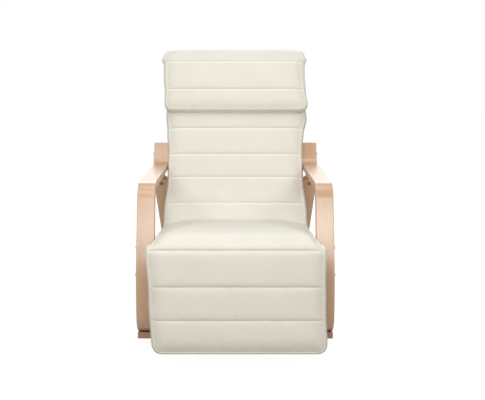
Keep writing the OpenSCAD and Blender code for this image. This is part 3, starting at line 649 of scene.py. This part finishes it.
rack_ease = 0.0012
upright_birch = wood(
    "upright_birch", (0.70, 0.46, 0.28, 1), (0.57, 0.35, 0.20, 1), (0, 90, 0), 0.3)
for side, sign in sides:
    softened(f"{side}_foot_rail", f"{side}_footrest_rail", upright_birch, wood_ease,
             "footrest")
    softened(f"{side}_rack", f"{side}_notched_rack", upright_birch, rack_ease,
             "frame")

# ---- Steel fittings ----
# Brackets and prop arms are black powder-coated steel, bolts, nuts and screws are zinc
# plated, and the washers and spacers of the two hinges are black nylon.

skin_group, given, made = new_tree(
    "metal_skin", "ShaderNodeTree",
    {"Place": "Vector", "Pale": "Color", "Deep": "Color", "Grain": 900.0, "Smooth": 0.3,
     "Rough": 0.5},
    surface,
)
tree = skin_group
place = given["Place"]
fine = add(tree, "ShaderNodeVectorMath", {0: place, "Scale": given["Grain"]}, operation="SCALE")
speckle = noise_of(tree, fine[0], (1.0, 1.0, 1.0), 2.0)
handled = noise_of(tree, place, (45.0, 45.0, 45.0), 2.0)
worn = ranged(tree, weighed(tree, (speckle, 0.4), (handled, 0.6)), 0.35, 0.65)
feed(tree, made, {
    "Color": mixed(tree, worn, given["Pale"], given["Deep"]),
    "Roughness": ranged(tree, worn, 0.0, 1.0, given["Smooth"], given["Rough"]),
    "Height": speckle,
})


def skin(name, pale, deep, grain, smooth, rough, metallic, bump):
    """Metal or nylon with a fine speckle, duller where it is handled."""
    finish, tree, shader = new_finish(name)
    speckled = add(tree, "ShaderNodeGroup", {
        "Place": own_place(tree), "Pale": pale, "Deep": deep,
        "Grain": grain, "Smooth": smooth, "Rough": rough,
    }, node_tree=skin_group)
    feed(tree, shader, {
        "Base Color": speckled["Color"],
        "Roughness": speckled["Roughness"],
        "Normal": bumped(tree, speckled["Height"], bump, 0.5),
        "Metallic": metallic,
    })
    return finish


zinc = skin("zinc_steel", (0.62, 0.62, 0.64, 1), (0.46, 0.46, 0.48, 1),
            700.0, 0.28, 0.45, 1.0, 0.00005)
# The bracket bolts are a dark brown steel, darker than the zinc of the other bolts.
dark_zinc = skin("browned_steel", (0.36, 0.25, 0.17, 1), (0.22, 0.15, 0.10, 1),
                 700.0, 0.35, 0.5, 1.0, 0.00005)
black_coat = skin("black_powder_coat", (0.030, 0.030, 0.032, 1), (0.016, 0.016, 0.017, 1),
                  1500.0, 0.42, 0.6, 0.0, 0.0001)
nylon = skin("black_nylon", (0.045, 0.045, 0.048, 1), (0.030, 0.030, 0.032, 1),
             300.0, 0.4, 0.55, 0.0, 0.00004)

steel_ease = 0.0008
for side, sign in sides:
    softened(f"{side}_rear_bracket", f"{side}_angle_bracket", black_coat, steel_ease,
             "frame")
    softened(f"{side}_prop_arm", f"{side}_prop_link", black_coat, steel_ease,
             "prop")

for finish, nodes in (
    (zinc, ("tie_bolts", "tie_inserts", "bracket_screws", "bar_screws", "slat_screws",
            "side_nuts", "hinge_nuts", "foot_bar_screws", "foot_slat_screws", "prop_pins",
            "prop_bar")),
    (dark_zinc, ("bracket_bolts",)),
    (nylon, ("hinge_washers", "prop_spacers")),
    (upright_birch, ("rack_dowels",)),
):
    for node in nodes:
        mesh = frame["nodes"][node].data
        mesh.materials.clear()
        mesh.materials.append(finish)

# ---- Socket-head bolts ----
# Six bolts hold the rails and the racks in the arm bows, and two carry the footrest.
# Each has a low domed head with a hexagon socket, and its shank ends in a sleeve nut.

bolt_r, head_r, head_h = 0.004, 0.0075, 0.004
socket_r, socket_floor = 0.0028, 0.0014


def socket_bolt(length):
    """A bolt along Z: its head stands on the level 0, and its shank hangs below."""
    count = 24
    verts = []
    for radius, z, hexagon in (
        (socket_r, socket_floor, True),
        (socket_r, 0.92 * head_h, True),
        (0.55 * head_r, head_h, False),
        (0.78 * head_r, 0.82 * head_h, False),
        (0.94 * head_r, 0.48 * head_h, False),
        (head_r, 0.18 * head_h, False),
        (head_r, 0, False),
        (bolt_r, 0, False),
        (bolt_r, -length, False),
    ):
        for k in range(count):
            a = 2 * pi * k / count
            r = radius
            if hexagon:
                r *= cos(pi / 6) / cos(a % (pi / 3) - pi / 6)
            verts.append((r * cos(a), r * sin(a), z))
    mesh = closed_mesh("socket_bolt", verts, tube_faces(len(verts), count))
    mesh.set_sharp_from_angle(angle=radians(40))
    return bpy.data.objects.new("socket_bolt", mesh)


bolt_tree, given, made = growth_tree("bolts", Bolt="Object")
tree = bolt_tree
pattern = add(tree, "GeometryNodeObjectInfo", {"Object": given["Bolt"]})
axis = add(tree, "GeometryNodeInputNamedAttribute", {"Name": "axis"}, data_type="FLOAT_VECTOR")
facing = add(tree, "FunctionNodeAlignRotationToVector", {"Vector": axis["Attribute"]}, axis="Z")
bolts = add(tree, "GeometryNodeInstanceOnPoints", {
    "Points": given["Mesh"], "Instance": pattern["Geometry"], "Rotation": facing[0]})
closing(tree, bolts[0], given, made)


def leg_centre(z):
    """Where the middle of the front leg is at a height, above its slow bend or within it."""
    lean = radians(leg_lean)
    run = knee_r * tan(lean / 2)
    if z > knee[1] + run * cos(lean):
        return np.array([leg_y + (z - knee[1]) * tan(lean), z])
    return np.array([leg_y + knee_r - sqrt(knee_r**2 - (z - knee[1] + run) ** 2), z])


upper_z, apart = 0.357, 0.088
leg_bolts = [leg_centre(upper_z), leg_centre(upper_z - apart)]
end_bolt = on_back(upturn_at + 0.053, 0)
hinge_x = 0.270
for name, node, spots, x, length in (
    ("arm_bolts", "side_bolts", (*leg_bolts, end_bolt), strip_x + strip_w / 2, 0.068),
    ("footrest_bolts", "hinge_bolts", (hinge,), hinge_x, 0.050),
):
    points = bpy.data.meshes.new(name)
    points.from_pydata([(sign * x, *spot) for side, sign in sides for spot in spots], [], [])
    mark(points, "axis", [(sign, 0, 0) for side, sign in sides for spot in spots])
    pattern = socket_bolt(length)
    bolts = grown(name, points, bolt_tree, Bolt=pattern, Finish=zinc)
    bpy.data.objects.remove(pattern)
    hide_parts(node)
    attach(bolts, "frame")

# ---- Quilted pad ----
# One long pad of cream cotton canvas over polyester wadding lies on the slats from above
# the head to below the calves.  Cross seams quilt its face into channels, and piping joins
# the face to a boxing strip that runs round all four sides.


class Route:
    """A line in the side view that a soft piece lies on, with its face on the left."""

    def __init__(self, stations):
        self.points = np.array([p for p, h in stations])
        steps = np.linalg.norm(np.diff(self.points, axis=0), axis=1)
        self.places = np.concatenate([[0], np.cumsum(steps)])
        self.headings = np.array([h for p, h in stations], float)
        self.length = self.places[-1]

    def at(self, place, height):
        """The (y, z) points at places along the route and heights off it."""
        h = np.radians(np.interp(place, self.places, self.headings))
        y = np.interp(place, self.places, self.points[:, 0])
        z = np.interp(place, self.places, self.points[:, 1])
        past = place - np.clip(place, 0, self.length)
        y = y + past * np.cos(h) - height * np.sin(h)
        z = z + past * np.sin(h) + height * np.cos(h)
        return y, z


def eased(place, knots):
    """A size that glides from knot to knot of (place, size)."""
    knots = np.array(knots)
    i = np.clip(np.searchsorted(knots[:, 0], place) - 1, 0, len(knots) - 2)
    share = np.clip((place - knots[i, 0]) / (knots[i + 1, 0] - knots[i, 0]), 0, 1)
    share = share * share * (3 - 2 * share)
    return knots[i, 1] + (knots[i + 1, 1] - knots[i, 1]) * share


near_seam = [0.0, 0.0012, 0.0026, 0.005, 0.010, 0.018]
channel_pitch = 0.012
short_pitch = 0.006


def quilt_rows(route, first, last, seams, height):
    """Rows of a quilted panel: place, distance on the face, distance to the nearest seam,
    share of the way across the channel, and whether the row is a seam."""
    fine = np.linspace(first, last, 4000)
    y, z = route.at(fine, height)
    face = np.concatenate([[0], np.cumsum(np.hypot(np.diff(y), np.diff(z)))])
    marks = [0, *np.interp(seams, fine, face), face[-1]]
    far = 1.0
    rows = []
    for k, (a, b) in enumerate(zip(marks, marks[1:])):
        gap = b - a
        spots = np.linspace(0, gap, max(4, round(gap / short_pitch)) + 1)
        if gap > 2.6 * near_seam[-1]:
            middle = gap - 2 * near_seam[-1]
            count = round(middle / channel_pitch) + 1
            inner = np.linspace(near_seam[-1], gap - near_seam[-1], count)
            spots = [*near_seam[:-1], *inner, *[gap - d for d in near_seam[-2::-1]]]
        for d in spots[:-1]:
            before = d if k else far
            after = gap - d if k < len(marks) - 2 else far
            rows.append((a + d, min(before, after), d / gap, d == 0 and k > 0))
    rows.append((face[-1], far, 1.0, False))
    on_face, to_seam, share, is_seam = np.array(rows).T
    return np.interp(on_face, face, fine), on_face, to_seam, share, is_seam.astype(bool)


def border_columns(half, pitch=0.012):
    """Shares of the half width for a panel's columns, closer together at its borders."""
    edge = [0.0, 0.003, 0.008, 0.015, 0.025]
    inner = np.linspace(0, half - edge[-1], round((half - edge[-1]) / pitch) + 1)
    right = np.concatenate([inner, half - np.array(edge[-2::-1])]) / half
    return np.concatenate([-right[:0:-1], right])


def filled(rows, columns, half, rim, valley, full, falling):
    """A panel's heights: valley at its seams, full between them, and down to the rim
    within falling of its borders.  All but rows and columns are sizes at each row."""
    place, _, to_seam, share, _ = rows
    steep = 1 - np.exp(-((to_seam / 0.0026) ** 1.5))
    swell = 0.95 * steep + 0.05 * (1 - (2 * share - 1) ** 2)
    from_side = (1 - np.abs(columns)) * half[:, None]
    from_end = np.minimum(place - place[0], place[-1] - place)[:, None]
    inward = np.minimum(from_side, from_end) / np.reshape(falling, (-1, 1))
    crowned = 1 - (1 - np.clip(inward, 0, 1)) ** 2.4
    return rim[:, None] + crowned * (valley - rim + (full - valley) * swell)[:, None]


def plumped(piece):
    """Fills a sewn body: its cloth swells a little between its held seams."""
    most = 0.0010
    frames = 14
    rest = np.array([v.co for v in piece.data.vertices])
    cloth = piece.modifiers.new("cloth", "CLOTH")
    set_all(cloth.settings, quality=5, use_pressure=True, uniform_pressure_force=2.5,
            shrink_min=-0.008, vertex_group_mass="held", tension_stiffness=12,
            compression_stiffness=12, bending_stiffness=0.4)
    cloth.settings.effector_weights.gravity = 0
    cloth.point_cache.frame_end = frames
    for number in range(1, frames + 1):
        scene.frame_set(number)
    seen = piece.evaluated_get(bpy.context.evaluated_depsgraph_get())
    moved = np.array([v.co for v in seen.data.vertices]) - rest
    piece.modifiers.remove(cloth)
    scene.frame_set(1)
    far = np.linalg.norm(moved, axis=1)[:, None]
    moved *= most * np.tanh(far / most) / np.maximum(far, 1e-9)
    piece.data.vertices.foreach_set("co", (rest + moved).astype(np.float32).ravel())
    piece.data.update()


def sewn_body(name, route, rows, columns, half, shift, reach, corners, heights, lift, lips):
    """A closed body in three cloths: a quilted panel, a boxing strip and a base.

    rows come from quilt_rows, columns are shares of the panel's half width, half, shift
    and reach are sizes at each row, corners the radii at the two ends, heights the panel's
    heights at each row and column, lift the base's height at each row, and lips how strong
    a painted highlight is just below a seam.  Gives the piece, and the vertices of
    its border and of each seam."""
    place, on_face, to_seam, share, is_seam = rows
    n, m = len(place), len(columns)
    before, after = place - place[0], place[-1] - place
    narrow = np.zeros(n)
    for d, radius in ((before, corners[0]), (after, corners[1])):
        inside = np.clip(radius - d, 0, radius)
        narrow += radius - np.sqrt(radius**2 - inside**2)
    x = shift[:, None] + (half - narrow)[:, None] * columns
    s = np.repeat(place[:, None], m, 1)
    tuck = reach - 0.004
    base_x = shift[:, None] + (half - narrow + tuck)[:, None] * columns
    stretch = np.clip(1 - after / 0.03, 0, 1) - np.clip(1 - before / 0.03, 0, 1)
    base_s = s + (tuck * stretch)[:, None]

    def solid(px, ps, height):
        y, z = route.at(ps, height)
        return np.stack([px, y, z], -1)

    panel = solid(x, s, heights).reshape(-1, 3)
    base = solid(base_x, base_s, lift[:, None]).reshape(-1, 3)
    ids = np.arange(n * m).reshape(n, m)
    border = np.concatenate([ids[0], ids[1:, -1], ids[-1, -2::-1], ids[-2:0:-1, 0]])
    li, lj = divmod(border, m)
    plan = np.stack([x[li, lj], s[li, lj]], 1)
    base_plan = np.stack([base_x[li, lj], base_s[li, lj]], 1)
    run = np.roll(plan, -1, 0) - np.roll(plan, 1, 0)
    out = np.stack([run[:, 1], -run[:, 0]], 1)
    out /= np.linalg.norm(out, axis=1)[:, None]
    rim, foot = heights[li, lj], lift[li]
    bands, band_uv = [], []
    for t, bulge in ((0.14, 0.58), (0.36, 0.93), (0.62, 1.0), (0.86, 0.88)):
        extra = reach[li] * bulge - tuck[li] * t
        q = plan + (base_plan - plan) * t + out * extra[:, None]
        bands.append(solid(q[:, 0], q[:, 1], rim + (foot - rim) * t))
        band_uv.append(np.stack([plan[:, 0], on_face[li]], 1) + out * (t * 0.035 + 0.006))
    verts = np.concatenate([panel, *bands, base])
    uv = np.concatenate([
        np.stack([x, np.repeat(on_face[:, None], m, 1)], -1).reshape(-1, 2),
        *band_uv,
        np.stack([x, s], -1).reshape(-1, 2),
    ])
    count, size = n * m, len(border)
    base_from = count + len(bands) * size
    faces = []
    for a in ids[:-1, :-1].ravel().tolist():
        quad = a, a + m, a + m + 1, a + 1
        faces += [quad, [base_from + v for v in quad[::-1]]]
    chain = [count + k * size + np.arange(size) for k in range(len(bands))]
    chain = [border, *chain, base_from + border]
    for upper, lower in zip(chain, chain[1:]):
        quads = upper, np.roll(upper, -1), np.roll(lower, -1), lower
        faces += np.stack(quads, 1).tolist()
    mesh = closed_mesh(name, verts.tolist(), faces)
    cloth_map = mesh.uv_layers.new(name="cloth")
    corner_verts = np.zeros(len(mesh.loops), np.int64)
    mesh.loops.foreach_get("vertex_index", corner_verts)
    cloth_map.data.foreach_set("uv", uv[corner_verts].astype(np.float32).ravel())
    # The seam attribute, high near each seam, raises the cloth's gathers there and darkens its
    # tone as painted shade in the seam's crease.
    off_panel = np.zeros(len(verts) - count)
    # A thin band just below each seam, on the lower channel, gets a painted highlight on the
    # weave.
    painted_highlight = np.exp(-(((to_seam - 0.0042) / 0.0024) ** 2)) * (share > 0.5) * lips
    for label, values in (("seam", np.exp(-to_seam / 0.009)), ("lip", painted_highlight)):
        mark(mesh, label, np.concatenate([np.repeat(values, m), off_panel]))
    piece = new_piece(name, mesh, cream)
    free = ids[1:-1, 1:-1][~is_seam[1:-1]]
    held = np.setdiff1d(np.arange(len(verts)), free).tolist()
    piece.vertex_groups.new(name="held").add(held, 1, "REPLACE")
    edge_verts = np.zeros(2 * len(mesh.edges), np.int64)
    mesh.edges.foreach_get("vertices", edge_verts)
    row, other = np.where(edge_verts < count, edge_verts // m, -1).reshape(-1, 2).T
    mark(mesh, "crease_edge", (row == other) & (row >= 0) & is_seam[row], "EDGE")
    plumped(piece)
    set_all(piece.modifiers.new("finer", "SUBSURF"), levels=1, render_levels=1)
    set_in_mesh(piece)
    return piece, border.tolist(), ids[is_seam, 1:-1].tolist()


weave_group, given, made = new_tree(
    "canvas_weave", "ShaderNodeTree",
    {"Place": "Vector", "Near Seam": 0.0, "Lip": 0.0, "Pale": "Color", "Deep": "Color",
     "Pitch": 0.0009},
    surface,
)
tree = weave_group
place, near = given["Place"], given["Near Seam"]
per_thread = combined(tree, "DIVIDE", 1.0, given["Pitch"])
threads = add(tree, "ShaderNodeVectorMath", {0: place, "Scale": per_thread}, operation="SCALE")
split = add(tree, "ShaderNodeSeparateXYZ", {0: threads[0]})
warp = combined(tree, "PINGPONG", split["X"], 0.5)
weft = combined(tree, "PINGPONG", split["Y"], 0.5)
slubs = combined(tree, "ADD", noise_of(tree, place, (40.0, 900.0, 1.0), 2.0),
                 noise_of(tree, place, (900.0, 40.0, 1.0), 2.0))
creases = noise_of(tree, place, (70.0, 6.0, 1.0), 2.0)
gathers = combined(tree, "SUBTRACT", noise_of(tree, place, (260.0, 14.0, 1.0), 2.0), 0.5)
tone = ranged(tree, noise_of(tree, place, (9.0, 9.0, 1.0), 3.0), 0.3, 0.7, 0.0, 0.5)
# Near the seams the tone leans toward Deep: painted shade in the seams' creases.
tone = weighed(tree, (tone, 1), (ranged(tree, slubs, 0.7, 1.3), 0.3), (near, 0.25))
worn = mixed(tree, tone, given["Pale"], given["Deep"])
# Just below each seam the colour is lifted toward pale cream: a painted highlight on the lower
# channel's lip.
feed(tree, made, {
    "Color": mixed(tree, given["Lip"], worn, (0.94, 0.91, 0.84, 1)),
    "Height": weighed(
        tree, (warp, 0.10), (weft, 0.10), (slubs, 0.04), (gathers, near), (creases, 0.15)),
    "Roughness": ranged(tree, slubs, 0.6, 1.4, 0.80, 0.92),
})

cream, tree, shader = new_finish("cream_canvas")
weave = add(tree, "ShaderNodeGroup", {
    "Place": add(tree, "ShaderNodeUVMap", uv_map="cloth")[0],
    "Near Seam": add(tree, "ShaderNodeAttribute", attribute_name="seam")["Fac"],
    "Lip": add(tree, "ShaderNodeAttribute", attribute_name="lip")["Fac"],
    "Pale": (0.83, 0.803, 0.715, 1),
    "Deep": (0.78, 0.748, 0.655, 1),
}, node_tree=weave_group)
feed(tree, shader, {
    "Base Color": weave["Color"],
    "Roughness": weave["Roughness"],
    "Normal": bumped(tree, weave["Height"], 0.0016, 0.7),
    "Specular IOR Level": 0.2,
    "Sheen Weight": 0.12,
    "Sheen Roughness": 0.5,
})

pad_base = slat_top + 0.0003
pad_top = 0.772
foot_pad_len = 0.306
valley = 0.0445
crown = 0.0495
seat_extra = 0.005
box_reach = 0.011
half_turn = (back_up - seat_up) / 2
nose_corner = hinge + pad_base * sqrt(2) * along((foot_up + seat_up) / 2)
crease_corner = corner + pad_base / cos(radians(half_turn)) * along(seat_up + half_turn)
pad_route = Route(bent_line(
    [on_foot(foot_pad_len, pad_base), nose_corner, crease_corner, on_back(pad_top, pad_base)],
    [pad_base, rail_bend_r - pad_base],
    [bend_step, bend_step],
))
crease_from = rail_bend_r * tan(radians(half_turn))
nose_end = foot_pad_len + pad_base * pi / 2


def at_back(b):
    return pad_route.length - (pad_top - b)


def at_seat(s):
    return nose_end + seat_len - s


def at_nose(angle):
    return foot_pad_len + pad_base * radians(foot_up - angle)


pad_end = pad_route.length
crease_place = (at_seat(crease_from) + at_back(crease_from)) / 2
seams = [foot_pad_len - 0.201, foot_pad_len - 0.097, at_nose(157), crease_place]
seams += [at_back(b) for b in (0.1193, 0.2244, 0.3204, 0.4307, 0.535, 0.640, 0.745)]
rows = quilt_rows(pad_route, box_reach - 0.006, pad_end - box_reach, seams, 0.036)
columns = border_columns(0.265)
place = rows[0]
outline = eased(place, [
    (0, 0.277), (0.06, 0.278), (0.20, 0.2805), (at_nose(165), 0.2855),
    (at_nose(155), 0.285), (at_nose(115), 0.270), (at_nose(90), 0.266),
    (at_seat(0.40), 0.2694), (at_seat(0.25), 0.2705), (at_seat(0.08), 0.279),
    (crease_place, 0.281), (at_back(0.09), 0.280), (at_back(0.20), 0.270),
    (at_back(0.34), 0.2694), (at_back(0.42), 0.2775), (at_back(0.485), 0.288),
    (at_back(0.56), 0.283), (pad_end, 0.280)])
sideways = eased(place, [
    (0, 0.0135), (0.15, 0.0065), (foot_pad_len, 0.0025), (at_seat(0.40), 0.0),
    (at_back(0.40), 0.0), (at_back(0.48), 0.005), (at_back(0.56), 0.002),
    (pad_end, 0.0)])
rim = eased(place, [
    (0, 0.034), (foot_pad_len, 0.036), (at_nose(157), 0.036), (at_nose(125), 0.019),
    (at_nose(90), 0.021), (at_seat(0.40), 0.028), (at_seat(0.10), 0.029),
    (at_back(0.10), 0.034), (pad_end, 0.034)])
dip = eased(place, [(at_nose(165), 0.0), (at_nose(157), -0.004), (at_nose(135), 0.0)])
rise = eased(place, [
    (0, 0), (at_nose(170), 0.001), (at_nose(160), 0.001), (at_nose(150), -0.002),
    (at_nose(125), -0.006), (at_nose(100), -0.002), (at_seat(0.50), 0.0),
    (at_seat(0.42), seat_extra), (at_seat(0.115), seat_extra),
    (at_seat(0.062), -0.001), (at_back(0.09), 0.0), (pad_end, 0)])
falling = eased(place, [
    (0, 0.045), (foot_pad_len, 0.05), (at_seat(0.40), 0.13), (at_seat(0.06), 0.14),
    (at_back(0.20), 0.07), (pad_end, 0.05)])
lips = eased(place, [(crease_place, 0.0), (at_back(0.10), 0.8), (pad_end, 0.8)])
hinge_clear = 0.009
near_hinge = np.clip(1 - np.abs(place - at_nose(127)) / 0.085, 0, 1)
lift = hinge_clear * near_hinge**2 * (3 - 2 * near_hinge)
half = outline - box_reach
heights = filled(rows, columns, half, rim, valley + dip, crown + rise, falling)
pad, *pad_lines = sewn_body(
    "quilted_pad", pad_route, rows, columns, half, sideways, np.full(len(place), box_reach),
    (0.022, 0.016), heights, lift, lips)
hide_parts("seat_cushion", "back_cushion", "footrest_cushion")


def lines_mesh(name, body, lines, closed, lift):
    """Runs of edges through a body's vertices, each lifted off its surface a little."""
    mesh = bpy.data.meshes.new(name)
    verts, edges = [], []
    for line in lines:
        start = len(verts)
        for v in line:
            vertex = body.data.vertices[v]
            verts.append(vertex.co + vertex.normal * lift)
        edges += [(k, k + 1) for k in range(start, len(verts) - 1)]
        if closed:
            edges.append((len(verts) - 1, start))
    mesh.from_pydata(verts, edges, [])
    return mesh


piping_tree, given, made = growth_tree("piping", Radius=0.0022, Pitch=0.006)
tree = piping_tree
line = add(tree, "GeometryNodeMeshToCurve", {"Mesh": given["Mesh"]})
even = add(tree, "GeometryNodeResampleCurve", {
    "Curve": line[0], "Length": given["Pitch"]}, mode="LENGTH")
ring = add(tree, "GeometryNodeCurvePrimitiveCircle", {
    "Resolution": 8, "Radius": given["Radius"]})
tube = add(tree, "GeometryNodeCurveToMesh", {"Curve": even[0], "Profile Curve": ring[0]})
closing(tree, tube[0], given, made, smooth=True)

stitch_tree, given, made = growth_tree(
    "stitches", Pitch=0.0065, Length=0.0044, Thickness=0.0010)
tree = stitch_tree
line = add(tree, "GeometryNodeMeshToCurve", {"Mesh": given["Mesh"]})
spots = add(tree, "GeometryNodeCurveToPoints", {
    "Curve": line[0], "Length": given["Pitch"]}, mode="LENGTH")
bead = add(tree, "GeometryNodeMeshUVSphere", {"Segments": 6, "Rings": 4, "Radius": 0.5})
size = add(tree, "ShaderNodeCombineXYZ", {
    "X": given["Thickness"], "Y": given["Thickness"], "Z": given["Length"]})
stitches = add(tree, "GeometryNodeInstanceOnPoints", {
    "Points": spots["Points"], "Instance": bead["Mesh"], "Rotation": spots["Rotation"],
    "Scale": size[0]})
closing(tree, stitches[0], given, made, smooth=True)

bias, tree, shader = new_finish("bias_binding", 0.85)
weave = add(tree, "ShaderNodeGroup", {
    "Place": own_place(tree),
    "Pale": (0.86, 0.82, 0.73, 1),
    "Deep": (0.80, 0.755, 0.66, 1),
}, node_tree=weave_group)
feed(tree, shader, {
    "Base Color": weave["Color"],
    "Normal": bumped(tree, weave["Height"], 0.0006, 0.5),
    "Specular IOR Level": 0.2,
})

thread, tree, shader = new_finish("thread", 0.6)
twist = noise_of(tree, own_place(tree), (1500.0, 1500.0, 1500.0), 1.0)
feed(tree, shader, {
    "Base Color": mixed(tree, twist, (0.90, 0.86, 0.76, 1), (0.70, 0.65, 0.54, 1)),
    "Normal": bumped(tree, twist, 0.0002, 0.5),
})


def trimmings(name, body, border, seams):
    """The piping round a sewn body's face, and the stitches in its seams."""
    piping = grown(f"{name}_piping", lines_mesh("border", body, [border], True, 0.0010),
                   piping_tree, Finish=bias)
    stitches = grown(f"{name}_stitches", lines_mesh("seams", body, seams, False, 0.0003),
                     stitch_tree, Finish=thread)
    return piping, stitches


for piece in (pad, *trimmings("pad", pad, *pad_lines)):
    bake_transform(piece)

# ---- Head pillow ----
# A separate pillow of the same canvas hugs the top of the pad: a full front cushion with
# two cross seams, a thin cover over the top edge and a flap behind, which holds it by
# friction and lets it slide up the back to the sitter's head.

pillow_low = 0.497
pillow_in = 0.0709
top_in = pad_top + 0.0028
behind = -0.0206
flap_end = pad_top - 0.160
pillow_route = Route(bent_line(
    [on_back(pillow_low, pillow_in), on_back(top_in, pillow_in), on_back(top_in, behind),
     on_back(flap_end, behind)],
    [0.028, 0.012],
    [8, 8],
))
pillow_end = pillow_route.length
seams = [0.585 - pillow_low, 0.709 - pillow_low]
rows = quilt_rows(pillow_route, 0.006, pillow_end - 0.004, seams, 0.030)
columns = border_columns(0.268)
place = rows[0]
full = eased(place, [
    (0, 0.0405), (0.215, 0.0395), (0.250, 0.025), (0.285, 0.011), (0.33, 0.0165),
    (0.37, 0.013), (0.41, 0.0062), (pillow_end, 0.006)])
sunk = eased(place, [
    (0, 0.0335), (0.150, 0.0335), (0.215, 0.0355), (0.250, 0.022), (0.285, 0.0095),
    (0.33, 0.015), (0.37, 0.012), (0.41, 0.006), (pillow_end, 0.006)])
rim = eased(place, [
    (0, 0.026), (0.215, 0.026), (0.250, 0.016), (0.285, 0.006), (0.33, 0.009),
    (0.37, 0.008), (0.41, 0.0045), (pillow_end, 0.0045)])
outline = eased(place, [
    (0, 0.287), (0.03, 0.2905), (0.07, 0.288), (0.20, 0.291), (0.215, 0.2935),
    (0.231, 0.303), (0.244, 0.293), (0.27, 0.288), (0.31, 0.286), (pillow_end, 0.282)])
sideways = eased(place, [
    (0, 0.004), (0.04, 0.003), (0.08, 0.0), (0.15, -0.0045), (pillow_end, -0.004)])
reach = eased(place, [
    (0, 0.006), (0.03, 0.009), (0.08, 0.013), (0.212, 0.016), (0.235, 0.012),
    (0.30, 0.007), (pillow_end, 0.005)])
half = outline - reach
pillow, *pillow_lines = sewn_body(
    "pillow", pillow_route, rows, columns, half, sideways, reach, (0.022, 0.010),
    filled(rows, columns, half, rim, sunk, full, 0.045), np.zeros(len(place)), 1.0)
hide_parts("head_pillow", "pillow_cap", "pillow_flap")
for piece in (pillow, *trimmings("pillow", pillow, *pillow_lines)):
    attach(piece, "pillow")
